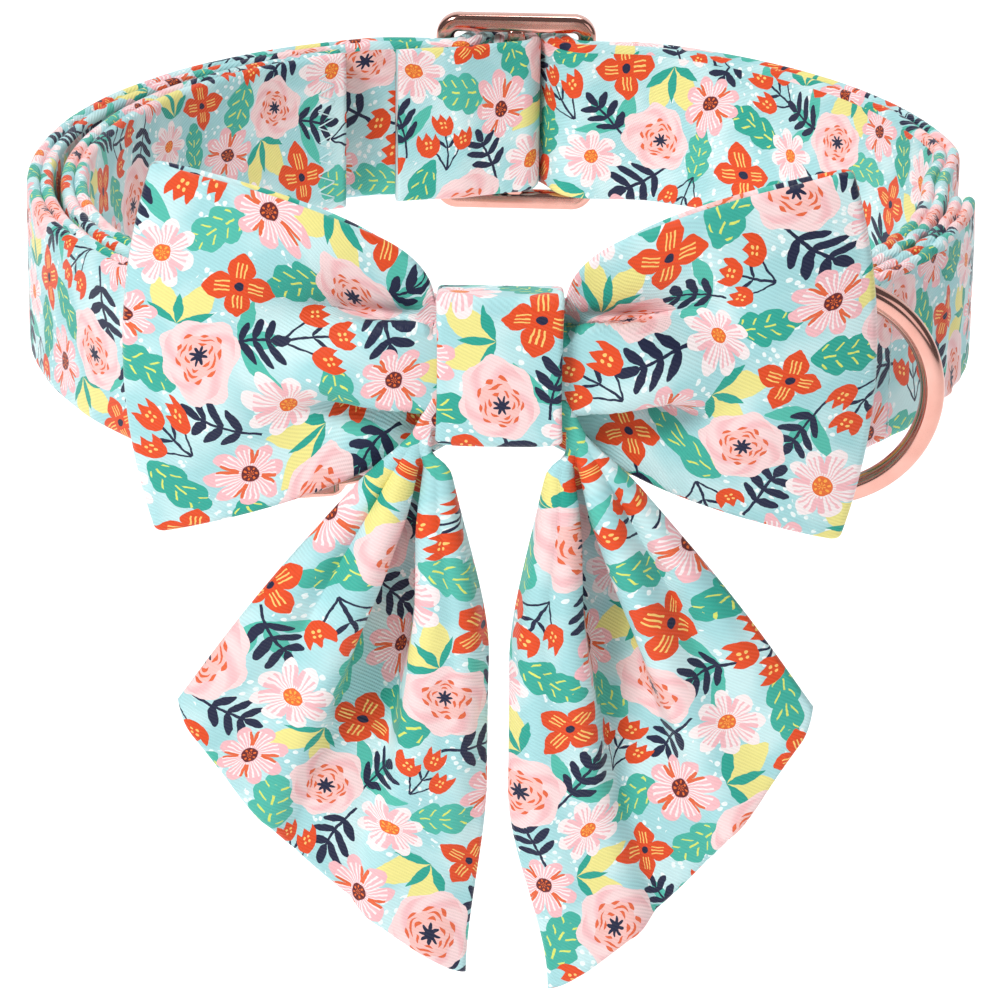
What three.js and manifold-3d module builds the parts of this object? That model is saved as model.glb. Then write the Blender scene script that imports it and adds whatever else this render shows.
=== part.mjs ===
// Fabric pet collar with a bow tie: a doubled strap on a slider and a buckle, a D-ring,
// and a hollow bow with a knot and two gathered tails.
// Millimetres, +Z up. The origin is the middle of the neck opening, the front is -Y.
import * as THREE from "three";
import { mergeVertices } from "three/addons/utils/BufferGeometryUtils.js";
import Module from "manifold-3d";

const wasm = await Module();
wasm.setup();

// Driving dimensions
const LOOP_RADIUS = 66.3; // middle of the outermost strap layer
const STRAP_WIDTH = 25;
const STRAP_THICKNESS = 3.8; // two rolled plies
const STRAP_GROOVE = 0.7; // depth of the groove between the rolled edges
const STRAP_EDGE = 0.6; // how far an edge roll is rounded off
const LAYER_GAP = 0.4; // between two layers of strap
const SMALL_GAP = 0.3; // between pieces that touch

const RING_WIRE_WIDTH = 3.3;
const RING_WIRE_DEPTH = 3;
const RING_ROOM = 26.6; // clear height inside the D-ring
const RING_REACH = 22; // from the middle of the bar to the far edge
const RING_CORNER = 3;
const RING_BEVEL = 0.6;
const RING_DROP = 0.5; // that it hangs below the strap's middle
const RING_ANGLE = 35.5; // degrees round the loop from the front

const BUCKLE_AWAY = 27.8; // along the loop from the front to its middle
const BUCKLE_BAR_SPAN = 23;
const BUCKLE_BAR = 3; // diameter
const BUCKLE_HEIGHT = 33;
const BUCKLE_THICKNESS = 4;
const BUCKLE_BLOCK_CLEAR = 1.2; // from the block to the strap on both sides together
const BUCKLE_RAIL_ROOM = 0.5; // between the strap's edge and a rail
const BUCKLE_RAIL = 2.2; // height of a rail
const BUCKLE_RAIL_INSET = 0.3; // that the rails stand back from the block's face

const SLIDER_LENGTH = 24.8;
const SLIDER_BAR = 2.8;
const SLIDER_HEIGHT = 31.5;
const SLIDER_ROOM = 26;
const SLIDER_CORNER = 3.5;
const SLIDER_BEVEL = 0.5;
const SLIDER_ANGLE = 178.3; // degrees round the loop
const SLIDER_OUT = 0.6; // its plane, outside the middle of the strap

const TAB_THICKNESS = 1.8;
const TAB_WIDTH = 24.6;
const TAB_LENGTH = 20; // of the inner panel, from the slider's middle bar
const TAB_FLAT_FROM = 9; // where the panel lies flat, from the slider's middle bar
const TAB_PANEL_DEPTH = 5.4; // of the panel's middle inside the strap's middle

const FRONT_LEAN = 20; // degrees that the strap's top edge tips forward behind the bow
const FRONT_LIFT = 4.9;
const FRONT_REACH = 34; // degrees of the loop over which the strap straightens up
const FRONT_SQUEEZE = 0.4; // share of its width that the strap cups in behind the knot
const SQUEEZE_REACH = 14;

const ELASTIC_WIDTH = 7;
const ELASTIC_THICKNESS = 1;
const ELASTIC_ROOM = 0.6; // between the elastic and the strap
const ELASTIC_CORNER = 0.5; // that it rounds the strap's edges by

const CLOTH = 1.6; // bow cloth, two plies pressed together
const BOW_HEIGHT_ABOVE = 12; // of the bow's middle above the strap's middle
const WING_REACH = 48.2; // from the bow's middle to the outer fold
const WING_CORNER_IN = 4; // that the fold's corners lie further in
const WING_HALF_HEIGHT = 25.6;
const WING_PUFF = 8; // between the layers in the middle of a wing
const WING_EDGE_PUFF = 3.2; // between the layers at a wing's edges
const WING_SWEEP = 2.5; // that the wing's end curves back
const WING_OPEN_BY = 0.45; // share of the way out where a wing has its full puff
const WING_CLOSE_FROM = 0.5; // share of the way out where its layers close in again
const WING_CLOSED = 0.94; // how near they come at the fold, where 1 is touching
const WING_FOLD_BULGE = 0.6;
const PUFF_EVENNESS = 1.5; // how soon the puff falls off above and below the middle
const PLEAT_HALF = 6; // half height of the raised middle pleat
const PLEAT_RISE = 2;
const PLEAT_SLOPE = 1.6;
const PLEAT_REACH = 0.6; // share of the way out where the pleat and its valleys end
const VALLEY_DEPTH = 1.6; // of the folds above and below the pleat
const VALLEY_AWAY = 2.4; // from the pleat's edge to the middle of a valley
const VALLEY_HALF = 2.2;
const VALLEY_FROM = 0.2; // share of the way out where a valley is at its full depth

const KNOT_WIDTH = 16.6;
const KNOT_HEIGHT = 21.6; // of its front
const KNOT_BACK_HEIGHT = 18.8;
const KNOT_RAISED = 0.6; // that the middle of its front is above the bow's middle
const KNOT_CLOTH = 1.5;
const KNOT_OUT = 8.5; // from the middle of the outer strap to the front face of the knot's back wall
const KNOT_ROOM = 8.4; // clear depth inside the knot

const TAIL_CLOTH = 1.8;
const TAIL_START_IN = 5.5; // how far inside the knot's side a tail starts
const TAIL_MOUTH_LOW = 2; // its lower edge above the knot's lower edge, where it leaves
const TAIL_MOUTH = 4.8; // its width there
const TAIL_BEND_OUT = 3.2; // that its outer edge stands off the knot's side where it turns down
const TAIL_BEND_UP = 1.4; // that its outer edge turns above the knot's lower edge

// How a tail lies: how far its hem corner, its tip and its inner edge are from the bow's
// middle line, and how far below the bow's middle
const CORNER_OUT = 43.3;
const CORNER_DROP = 49.4;
const LEFT_TIP_OUT = 3.6;
const LEFT_TIP_DROP = 90;
const LEFT_INNER_OUT = 1;
const RIGHT_TIP_OUT = 7.6;
const RIGHT_TIP_DROP = 92.4;
const RIGHT_INNER_OUT = 1.8;
const TAILS = [
  { name: "tail_left", side: -1, tip: LEFT_TIP_OUT, tipDrop: LEFT_TIP_DROP, inner: LEFT_INNER_OUT },
  { name: "tail_right", side: 1, tip: RIGHT_TIP_OUT, tipDrop: RIGHT_TIP_DROP, inner: RIGHT_INNER_OUT },
];

// Folds across a tail, from its inner edge (0) to its outer edge (1): how far the cloth
// stands forward there, as a share of the fold depth
const TAIL_FOLDS = [
  { across: 0, forward: -0.35 },
  { across: 0.14, forward: 0.9 },
  { across: 0.3, forward: 1 },
  { across: 0.42, forward: -1 },
  { across: 0.52, forward: -0.9 },
  { across: 0.66, forward: 1 },
  { across: 0.8, forward: 0.3 },
  { across: 0.9, forward: 0.5 },
  { across: 1, forward: -0.2 },
];
const TAIL_FOLD_DEPTH = 2.4;

const degrees = (angle) => (angle * Math.PI) / 180;
const mix = (a, b, share) => a + (b - a) * share;
const clamp = (value) => Math.min(1, Math.max(0, value));
const smooth = (value) => clamp(value) ** 2 * (3 - 2 * clamp(value));
const fadeOut = (angle, reach) => Math.cos((clamp(Math.abs(angle) / degrees(reach)) * Math.PI) / 2) ** 2;

// Materials
const material = (color, roughness, metalness) =>
  new THREE.MeshStandardMaterial({ color, roughness, metalness, side: THREE.DoubleSide });
const cloth = material(0xbfe6ea, 0.7, 0);
const roseGold = material(0xe8a892, 0.22, 1);
const elastic = material(0xf2f4f4, 0.8, 0);

// A place on the collar: s runs round the loop from the front towards +X, out points away
// from the neck and across is the height on the strap.
function onLoop(s, out, across) {
  const angle = s / LOOP_RADIUS;
  const turned = Math.atan2(Math.sin(angle), Math.cos(angle));
  const lean = degrees(FRONT_LEAN) * fadeOut(turned, FRONT_REACH);
  const lift = FRONT_LIFT * fadeOut(turned, FRONT_REACH);
  const width = across * (1 - FRONT_SQUEEZE * fadeOut(turned, SQUEEZE_REACH));
  const radial = LOOP_RADIUS + out * Math.cos(lean) + width * Math.sin(lean);
  const height = lift - out * Math.sin(lean) + width * Math.cos(lean);
  return new THREE.Vector3(radial * Math.sin(angle), -radial * Math.cos(angle), height);
}

// A closed body from a grid of corners: rings of points, each ring closed, joined in
// order, and either closed on the first ring or capped at both ends.
function bodyFromRings(rings, closed) {
  const count = rings[0].length;
  const positions = rings.flat().flatMap((p) => [p.x, p.y, p.z]);
  const index = [];
  const at = (ring, k) => (ring % rings.length) * count + (k % count);
  const steps = closed ? rings.length : rings.length - 1;
  for (let ring = 0; ring < steps; ring += 1) {
    for (let k = 0; k < count; k += 1) {
      index.push(at(ring, k), at(ring + 1, k), at(ring + 1, k + 1));
      index.push(at(ring, k), at(ring + 1, k + 1), at(ring, k + 1));
    }
  }
  if (!closed) {
    for (const [ring, flip] of [[0, false], [rings.length - 1, true]]) {
      const middle = rings[ring].reduce((sum, p) => sum.add(p), new THREE.Vector3()).divideScalar(count);
      const centre = positions.length / 3;
      positions.push(middle.x, middle.y, middle.z);
      for (let k = 0; k < count; k += 1) {
        index.push(centre, at(ring, flip ? k + 1 : k), at(ring, flip ? k : k + 1));
      }
    }
  }
  const geometry = new THREE.BufferGeometry();
  geometry.setAttribute("position", new THREE.Float32BufferAttribute(positions, 3));
  geometry.setIndex(index);
  return facingOut(geometry);
}

// The signed volume of a closed body says whether its faces point out.
function facingOut(geometry) {
  const position = geometry.getAttribute("position");
  const index = geometry.getIndex();
  const corner = (k) => new THREE.Vector3().fromBufferAttribute(position, index.getX(k));
  let volume = 0;
  for (let k = 0; k < index.count; k += 3) {
    volume += corner(k).dot(corner(k + 1).cross(corner(k + 2)));
  }
  if (volume < 0) {
    for (let k = 0; k < index.count; k += 3) {
      const first = index.getX(k);
      index.setX(k, index.getX(k + 1));
      index.setX(k + 1, first);
    }
  }
  geometry.computeVertexNormals();
  return geometry;
}

// A cloth sheet: a grid of middle points thickened along its own normals. around says
// that the grid's first direction closes on itself.
function sheetBody(grid, thickness, around) {
  const rows = grid.length;
  const columns = grid[0].length;
  const row = (i) => (around ? (i + rows) % rows : Math.min(rows - 1, Math.max(0, i)));
  const column = (j) => Math.min(columns - 1, Math.max(0, j));
  const normal = (i, j) => {
    const along = grid[row(i + 1)][j].clone().sub(grid[row(i - 1)][j]);
    const over = grid[i][column(j + 1)].clone().sub(grid[i][column(j - 1)]);
    return along.cross(over).normalize();
  };
  const rings = grid.map((line, i) => {
    const front = line.map((p, j) => p.clone().addScaledVector(normal(i, j), thickness / 2));
    const back = line.map((p, j) => p.clone().addScaledVector(normal(i, j), -thickness / 2));
    return [...front, ...back.reverse()];
  });
  return bodyFromRings(rings, around);
}

// A ribbon's route past rounds in the (s, out) plane. A round is a bar with the ribbon's
// middle at a distance radius from it, and turn is 1 where the route turns left round it,
// -1 where it turns right. A round with radius 0 is a plain point of the route.
function route(rounds, longestStep, widestTurn) {
  const headings = [];
  for (let k = 0; k + 1 < rounds.length; k += 1) {
    const [from, to] = [rounds[k], rounds[k + 1]];
    const run = { s: to.s - from.s, out: to.out - from.out };
    const reach = Math.hypot(run.s, run.out);
    const shift = (from.turn ?? 0) * (from.radius ?? 0) - (to.turn ?? 0) * (to.radius ?? 0);
    headings.push(Math.atan2(run.out, run.s) + Math.asin(shift / reach));
  }
  const points = [];
  const touch = (round, heading) => ({
    s: round.s + (round.turn ?? 0) * (round.radius ?? 0) * Math.sin(heading),
    out: round.out - (round.turn ?? 0) * (round.radius ?? 0) * Math.cos(heading),
    heading,
  });
  rounds.forEach((round, k) => {
    const arrive = headings[k - 1] ?? headings[k];
    const leave = headings[k] ?? headings[k - 1];
    if (points.length) {
      const last = points[points.length - 1];
      const next = touch(round, arrive);
      const steps = Math.ceil(Math.hypot(next.s - last.s, next.out - last.out) / longestStep);
      for (let step = 1; step < steps; step += 1) {
        const share = step / steps;
        points.push({ s: mix(last.s, next.s, share), out: mix(last.out, next.out, share), heading: arrive });
      }
    }
    let sweep = Math.atan2(Math.sin(leave - arrive), Math.cos(leave - arrive));
    if (!round.radius) {
      points.push({ s: round.s, out: round.out, heading: arrive + sweep / 2, miter: 1 / Math.cos(sweep / 2) });
      return;
    }
    if (sweep * round.turn < 0) sweep += round.turn * 2 * Math.PI;
    const turns = Math.max(1, Math.ceil(Math.abs(sweep) / degrees(widestTurn)));
    for (let step = 0; step <= turns; step += 1) {
      points.push(touch(round, arrive + (sweep * step) / turns));
    }
  });
  return points;
}

// A ribbon swept along a route, from a section of (across, out) corners
function ribbonBody(points, section) {
  const rings = points.map((point) =>
    section.map((corner) => {
      const offset = corner.out * (point.miter ?? 1);
      const s = point.s - offset * Math.sin(point.heading);
      const out = point.out + offset * Math.cos(point.heading);
      return onLoop(s, out, corner.across);
    }),
  );
  return bodyFromRings(rings, false);
}

const strapSection = (() => {
  const half = STRAP_WIDTH / 2;
  const face = STRAP_THICKNESS / 2;
  const side = (sign) => [
    { across: sign * (half - STRAP_EDGE), out: sign * -face },
    { across: sign * half, out: (sign * -face) / 2 },
    { across: sign * (half - STRAP_GROOVE), out: 0 },
    { across: sign * half, out: (sign * face) / 2 },
    { across: sign * (half - STRAP_EDGE), out: sign * face },
  ];
  return [...side(1), ...side(-1)];
})();

const tabSection = [
  { across: TAB_WIDTH / 2, out: -TAB_THICKNESS / 2 },
  { across: TAB_WIDTH / 2, out: TAB_THICKNESS / 2 },
  { across: -TAB_WIDTH / 2, out: TAB_THICKNESS / 2 },
  { across: -TAB_WIDTH / 2, out: -TAB_THICKNESS / 2 },
];

// Places on the loop that the metal pieces and the strap share
const pitch = STRAP_THICKNESS + LAYER_GAP;
const arc = (angle) => degrees(angle) * LOOP_RADIUS;
const wrapRadius = (bar) => bar / 2 + SMALL_GAP + STRAP_THICKNESS / 2;

const cornerRadius = (width, depth, bevel) => Math.hypot(width / 2, depth / 2 - bevel);
const ringBarRadius = cornerRadius(RING_WIRE_WIDTH, RING_WIRE_DEPTH, RING_BEVEL);
const sliderBarRadius = cornerRadius(SLIDER_BAR, SLIDER_BAR, SLIDER_BEVEL);
const ringBar = {
  s: arc(RING_ANGLE),
  out: -pitch + STRAP_THICKNESS / 2 + SMALL_GAP + ringBarRadius,
};
const buckleOut = -pitch / 2;
const buckleBars = [-BUCKLE_AWAY + BUCKLE_BAR_SPAN / 2, -BUCKLE_AWAY - BUCKLE_BAR_SPAN / 2];

// The slider is flat, so its end bars lie further out on the loop than its middle bar.
const sliderPlane = LOOP_RADIUS + SLIDER_OUT;
const sliderBarAt = (along) => ({
  s: arc(SLIDER_ANGLE) + Math.atan2(along, sliderPlane) * LOOP_RADIUS,
  out: Math.hypot(along, sliderPlane) - LOOP_RADIUS,
});
const sliderEnd = (SLIDER_LENGTH - SLIDER_BAR) / 2;
const tabRadius = sliderBarRadius + SMALL_GAP + TAB_THICKNESS / 2;
const overTab = tabRadius + TAB_THICKNESS / 2 + SMALL_GAP + STRAP_THICKNESS / 2;

// The strap, from the end of its right outer layer to the end of its left inner layer
const SETTLE = 11; // that the strap needs beside a bar to lie flat again
const OUTER_END_ANGLE = 82; // where the right outer layer is stitched down
const SHIFT_FROM_ANGLE = 86; // where the inner layer moves out to take its place
const SHIFT_BEND = 25; // radius of its two bends there
const SHIFT_STRAIGHT = 1; // between the two bends
const INNER_END_ANGLE = -156.4; // where the left inner layer ends
const INNER_SLACK = 1; // that the left inner layer stands off at the loop's side
const INNER_SLACK_ANGLE = -108;

function strapRoute() {
  const wrap = wrapRadius(BUCKLE_BAR);
  const around = 2 * Math.PI * LOOP_RADIUS;
  const shiftRun = Math.sqrt((2 * SHIFT_BEND) ** 2 - (2 * SHIFT_BEND - pitch) ** 2) + SHIFT_STRAIGHT;
  return [
    { s: arc(OUTER_END_ANGLE), out: 0 },
    { s: ringBar.s + SETTLE, out: 0 },
    { ...ringBar, radius: wrapRadius(2 * ringBarRadius), turn: 1 },
    { s: ringBar.s - SETTLE, out: 0 },
    { s: ELASTIC_WIDTH / 2, out: 0 },
    { s: 0, out: 0 },
    { s: -ELASTIC_WIDTH / 2, out: 0 },
    { s: buckleBars[0] + SETTLE, out: 0 },
    { s: buckleBars[0], out: buckleOut, radius: wrap, turn: 1 },
    { s: buckleBars[0] + SETTLE, out: -pitch },
    { s: -ELASTIC_WIDTH / 2, out: -pitch },
    { s: 0, out: -pitch },
    { s: ELASTIC_WIDTH / 2, out: -pitch },
    { s: arc(SHIFT_FROM_ANGLE), out: -pitch + SHIFT_BEND, radius: SHIFT_BEND, turn: 1 },
    { s: arc(SHIFT_FROM_ANGLE) + shiftRun, out: -SHIFT_BEND, radius: SHIFT_BEND, turn: -1 },
    { s: sliderBarAt(-sliderEnd).s - SETTLE, out: 0 },
    { ...sliderBarAt(-sliderEnd), radius: wrapRadius(2 * sliderBarRadius), turn: 1 },
    { ...sliderBarAt(0), radius: overTab, turn: -1 },
    { ...sliderBarAt(sliderEnd), radius: wrapRadius(2 * sliderBarRadius), turn: 1 },
    { s: sliderBarAt(sliderEnd).s + SETTLE, out: 0 },
    { s: around + buckleBars[1] - SETTLE, out: 0 },
    { s: around + buckleBars[1], out: buckleOut, radius: wrap, turn: -1 },
    { s: around + buckleBars[1] - SETTLE, out: -pitch },
    { s: around + arc(INNER_SLACK_ANGLE), out: -pitch - INNER_SLACK },
    { s: around + arc(INNER_END_ANGLE), out: -pitch },
  ];
}

const LONGEST_STEP = 7;
const WIDEST_TURN = 36;

function strapBody() {
  return ribbonBody(route(strapRoute(), LONGEST_STEP, WIDEST_TURN), strapSection);
}

// The tab comes in flat inside the strap, turns round the slider's middle bar and ends
// just before it meets its own panel.
const TAB_END_HEADING = 235;
function tabBody() {
  const bar = sliderBarAt(0);
  const rounds = [
    { s: bar.s + TAB_LENGTH, out: -TAB_PANEL_DEPTH },
    { s: bar.s + TAB_FLAT_FROM, out: -TAB_PANEL_DEPTH },
    { ...bar, radius: tabRadius, turn: -1 },
  ];
  const points = route(rounds, LONGEST_STEP, WIDEST_TURN);
  const start = points[points.length - 1].heading;
  const turns = Math.ceil(TAB_END_HEADING / WIDEST_TURN);
  for (let step = 1; step <= turns; step += 1) {
    const heading = start - (degrees(TAB_END_HEADING) * step) / turns;
    points.push({
      s: bar.s - tabRadius * Math.sin(heading),
      out: bar.out + tabRadius * Math.cos(heading),
      heading,
    });
  }
  return ribbonBody(points, tabSection);
}

// A rounded rectangle, as a shape or as a hole in one
function roundedRectangle(path, width, height, radius, centreX = 0) {
  const [x, y] = [centreX - width / 2, -height / 2];
  path.moveTo(x + radius, y);
  path.lineTo(x + width - radius, y);
  path.quadraticCurveTo(x + width, y, x + width, y + radius);
  path.lineTo(x + width, y + height - radius);
  path.quadraticCurveTo(x + width, y + height, x + width - radius, y + height);
  path.lineTo(x + radius, y + height);
  path.quadraticCurveTo(x, y + height, x, y + height - radius);
  path.lineTo(x, y + radius);
  path.quadraticCurveTo(x, y, x + radius, y);
  return path;
}

const WINDOW_CORNER = 1.2;

// The slide: a flat three-bar frame with its windows either side of the middle bar
function sliderBody() {
  const shape = roundedRectangle(new THREE.Shape(), SLIDER_LENGTH, SLIDER_HEIGHT, SLIDER_CORNER);
  const windowWidth = sliderEnd - SLIDER_BAR;
  for (const side of [-1, 1]) {
    const centre = (side * sliderEnd) / 2;
    shape.holes.push(roundedRectangle(new THREE.Path(), windowWidth, SLIDER_ROOM, WINDOW_CORNER, centre));
  }
  const geometry = new THREE.ExtrudeGeometry(shape, {
    depth: SLIDER_BAR - 2 * SLIDER_BEVEL,
    bevelThickness: SLIDER_BEVEL,
    bevelSize: SLIDER_BEVEL,
    bevelOffset: -SLIDER_BEVEL,
    bevelSegments: 1,
    curveSegments: 3,
  });
  geometry.translate(0, 0, -SLIDER_BAR / 2 + SLIDER_BEVEL);
  return geometry;
}

// manifold-3d joins the buckle's block, rails and bars into one solid.
function solid(geometry) {
  const bare = geometry.clone();
  bare.deleteAttribute("normal");
  bare.deleteAttribute("uv");
  const merged = mergeVertices(bare, 1e-4);
  return new wasm.Manifold(
    new wasm.Mesh({
      numProp: 3,
      vertProperties: merged.getAttribute("position").array,
      triVerts: new Uint32Array(merged.getIndex().array),
    }),
  );
}

function geometryOf(manifold) {
  const mesh = manifold.getMesh();
  const geometry = new THREE.BufferGeometry();
  geometry.setAttribute("position", new THREE.BufferAttribute(mesh.vertProperties, mesh.numProp));
  geometry.setIndex(new THREE.BufferAttribute(mesh.triVerts, 1));
  geometry.computeVertexNormals();
  return geometry;
}

const BENT_STEPS = 4;
const BAR_SIDES = 10;

// The buckle is made flat on (s, across, out), then laid onto the loop.
function buckleBody() {
  const railIn = STRAP_WIDTH / 2 + BUCKLE_RAIL_ROOM;
  const railOut = railIn + BUCKLE_RAIL;
  const railLength = BUCKLE_BAR_SPAN + BUCKLE_BAR;
  const railDepth = BUCKLE_THICKNESS - 2 * BUCKLE_RAIL_INSET;
  const block = BUCKLE_BAR_SPAN - 2 * (wrapRadius(BUCKLE_BAR) + STRAP_THICKNESS / 2) - BUCKLE_BLOCK_CLEAR;
  const parts = [new THREE.BoxGeometry(block, BUCKLE_HEIGHT, BUCKLE_THICKNESS, 2, 1, 1)];
  for (const side of [-1, 1]) {
    const rail = new THREE.BoxGeometry(railLength, railOut - railIn, railDepth, BENT_STEPS, 1, 1);
    rail.translate(0, (side * (railIn + railOut)) / 2, 0);
    const bar = new THREE.CylinderGeometry(BUCKLE_BAR / 2, BUCKLE_BAR / 2, railIn + railOut, BAR_SIDES);
    bar.translate((side * BUCKLE_BAR_SPAN) / 2, 0, 0);
    parts.push(rail, bar);
  }
  const whole = parts.map(solid).reduce((sum, part) => sum.add(part));
  const geometry = geometryOf(whole);
  const position = geometry.getAttribute("position");
  for (let k = 0; k < position.count; k += 1) {
    const s = -BUCKLE_AWAY + position.getX(k);
    const place = onLoop(s, buckleOut + position.getZ(k), position.getY(k));
    position.setXYZ(k, place.x, place.y, place.z);
  }
  geometry.computeVertexNormals();
  return geometry;
}

// The D-ring about its bar, which stands on the local Z axis: the bar, two corners, two
// short straights and a half circle
const RING_ARC_STEPS = 16;
const RING_CORNER_STEPS = 3;

function ringBody() {
  const half = (RING_ROOM + RING_WIRE_WIDTH) / 2;
  const centre = RING_REACH - RING_WIRE_WIDTH / 2 - half;
  const path = [];
  for (let k = 0; k <= RING_ARC_STEPS; k += 1) {
    const angle = degrees(-90 + (180 * k) / RING_ARC_STEPS);
    path.push({ x: centre + half * Math.cos(angle), z: half * Math.sin(angle), facing: angle });
  }
  for (const side of [1, -1]) {
    for (let k = 0; k <= RING_CORNER_STEPS; k += 1) {
      const angle = degrees(side > 0 ? 90 : 180) + degrees((90 * k) / RING_CORNER_STEPS);
      path.push({
        x: RING_CORNER + RING_CORNER * Math.cos(angle),
        z: side * (half - RING_CORNER) + RING_CORNER * Math.sin(angle),
        facing: angle,
      });
    }
  }
  const [w, d, b] = [RING_WIRE_WIDTH / 2, RING_WIRE_DEPTH / 2, RING_BEVEL];
  const section = [[w, d - b], [w - b, d], [b - w, d], [-w, d - b], [-w, b - d], [b - w, -d], [w - b, -d], [w, b - d]];
  const rings = path.map((point) =>
    section.map(
      ([over, deep]) =>
        new THREE.Vector3(point.x + over * Math.cos(point.facing), deep, point.z + over * Math.sin(point.facing)),
    ),
  );
  return bodyFromRings(rings, true);
}

// A band round the strap at the front
function elasticBody() {
  const across = STRAP_WIDTH / 2 + ELASTIC_ROOM + ELASTIC_THICKNESS / 2;
  const room = ELASTIC_ROOM + ELASTIC_THICKNESS / 2;
  const outer = STRAP_THICKNESS / 2 + room;
  const inner = -pitch - STRAP_THICKNESS / 2 - room;
  const middle = (outer + inner) / 2;
  const corners = [[across, outer], [across, inner], [-across, inner], [-across, outer]];
  const loop = corners.flatMap(([a, o]) => {
    const [ta, to] = [Math.sign(a) * ELASTIC_CORNER, Math.sign(o - middle) * ELASTIC_CORNER];
    return [{ a: a - ta, o }, { a, o: o - to }];
  });
  const ordered = [loop[0], loop[1], loop[3], loop[2], loop[4], loop[5], loop[7], loop[6]];
  const grid = ordered.map(({ a, o }) =>
    [-0.5, 0, 0.5].map((share) => onLoop(share * ELASTIC_WIDTH, o, a)),
  );
  return sheetBody(grid, ELASTIC_THICKNESS, true);
}

// The bow's closed ring of cloth
const WING_COLUMNS = [-0.02, 0, 0.02, 0.06, 0.13, 0.22, 0.34, 0.48, 0.64, 0.8, 0.92]; // shares from knot to fold
const WING_ROWS = [-1, -0.86, -0.7, -0.55, -0.4, -0.26, -0.12, 0.12, 0.26, 0.4, 0.55, 0.7, 0.86, 1];
const TOP_SPREAD = 0.43; // how soon a wing opens above its middle, and below
const LOW_SPREAD = 0.6;
const FOLD_STEPS = 3;
const knotInside = KNOT_BACK_HEIGHT / 2 - KNOT_CLOTH - SMALL_GAP - CLOTH / 2;
const wingStart = KNOT_WIDTH / 2 + SMALL_GAP;
const knotBack = LOOP_RADIUS + KNOT_OUT;
const bowMiddle = knotBack + KNOT_ROOM / 4;

// Half height of a wing at a share q of the way from the knot to its fold
function wingHalf(q, row) {
  const spread = row > 0 ? TOP_SPREAD : LOW_SPREAD;
  return knotInside + (WING_HALF_HEIGHT - knotInside) * Math.max(0, q) ** spread;
}

// A point of the wing's middle surface: layer is 1 in front and -1 behind, and across
// from -1 at the lower edge to 1 at the upper edge.
function wingPoint(side, q, layer, across) {
  const reach = WING_REACH - WING_CORNER_IN * across ** 2;
  const x = mix(wingStart, reach, q);
  const height = wingHalf(q, across) * across;
  const puff = mix(WING_PUFF, WING_EDGE_PUFF, Math.abs(across) ** PUFF_EVENNESS);
  const closing = WING_CLOSED * clamp((q - WING_CLOSE_FROM) / (1 - WING_CLOSE_FROM));
  const open = mix(CLOTH + SMALL_GAP, puff, smooth(q / WING_OPEN_BY)) * Math.sqrt(1 - closing ** 2);
  const beside = Math.abs(height) - PLEAT_HALF;
  const pleat = smooth((PLEAT_SLOPE - beside) / PLEAT_SLOPE);
  const valley = Math.max(0, 1 - Math.abs(beside - VALLEY_AWAY) / VALLEY_HALF) * smooth(q / VALLEY_FROM);
  const forward = (PLEAT_RISE * pleat - VALLEY_DEPTH * valley) * (1 - smooth(q / PLEAT_REACH));
  const y = -bowMiddle - (layer * open) / 2 - (layer > 0 ? forward : 0) + WING_SWEEP * Math.max(0, q) ** 2;
  return new THREE.Vector3(side * x, y, BOW_HEIGHT_ABOVE + height);
}

function bowBody() {
  const line = (side, q, layer) => WING_ROWS.map((across) => wingPoint(side, q, layer, across));
  const fold = (side) =>
    Array.from({ length: FOLD_STEPS }, (_, k) => {
      const turn = Math.cos(degrees((180 * (k + 1)) / (FOLD_STEPS + 1)));
      return WING_ROWS.map((across) => {
        const [front, back] = [wingPoint(side, 1, 1, across), wingPoint(side, 1, -1, across)];
        const point = back.clone().lerp(front, (1 + turn) / 2);
        point.x += side * WING_FOLD_BULGE * Math.sqrt(1 - turn ** 2);
        return point;
      });
    });
  const wing = (side, layer) => WING_COLUMNS.map((q) => line(side, q, layer));
  const grid = [
    ...wing(1, 1),
    ...fold(1),
    ...wing(1, -1).reverse(),
    ...wing(-1, -1),
    ...fold(-1).reverse(),
    ...wing(-1, 1).reverse(),
  ];
  return sheetBody(grid, CLOTH, true);
}

// The knot: a square band round the bow's middle, taller in front than behind
const KNOT_CORNER = 0.9;
const KNOT_SIDES = 3;
function knotBody() {
  const depth = KNOT_ROOM + KNOT_CLOTH;
  const middleY = -(knotBack + KNOT_ROOM / 2);
  const quadrants = [[1, 1, 0], [-1, 1, 90], [-1, -1, 180], [1, -1, 270]];
  const loop = quadrants.flatMap(([sideY, sideZ, start]) => {
    const half = ((sideY > 0 ? KNOT_BACK_HEIGHT : KNOT_HEIGHT) - KNOT_CLOTH) / 2;
    const middleZ = BOW_HEIGHT_ABOVE + (sideY > 0 ? 0 : KNOT_RAISED);
    return Array.from({ length: KNOT_SIDES }, (_, k) => {
      const angle = degrees(start + (90 * k) / (KNOT_SIDES - 1));
      return {
        y: middleY + sideY * (depth / 2 - KNOT_CORNER) + KNOT_CORNER * Math.cos(angle),
        z: middleZ + sideZ * (half - KNOT_CORNER) + KNOT_CORNER * Math.sin(angle),
      };
    });
  });
  const grid = loop.map(({ y, z }) =>
    [-1, 0, 1].map((share) => new THREE.Vector3((share * KNOT_WIDTH) / 2, y, z)),
  );
  return sheetBody(grid, KNOT_CLOTH, true);
}

// A value read from a short table with straight runs between its rows
function readTable(table, from, to, at) {
  const next = table.findIndex((row) => row[from] >= at);
  if (next <= 0) return table[Math.max(0, next)][to];
  const [a, b] = [table[next - 1], table[next]];
  return mix(a[to], b[to], (at - a[from]) / (b[from] - a[from]));
}

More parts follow.
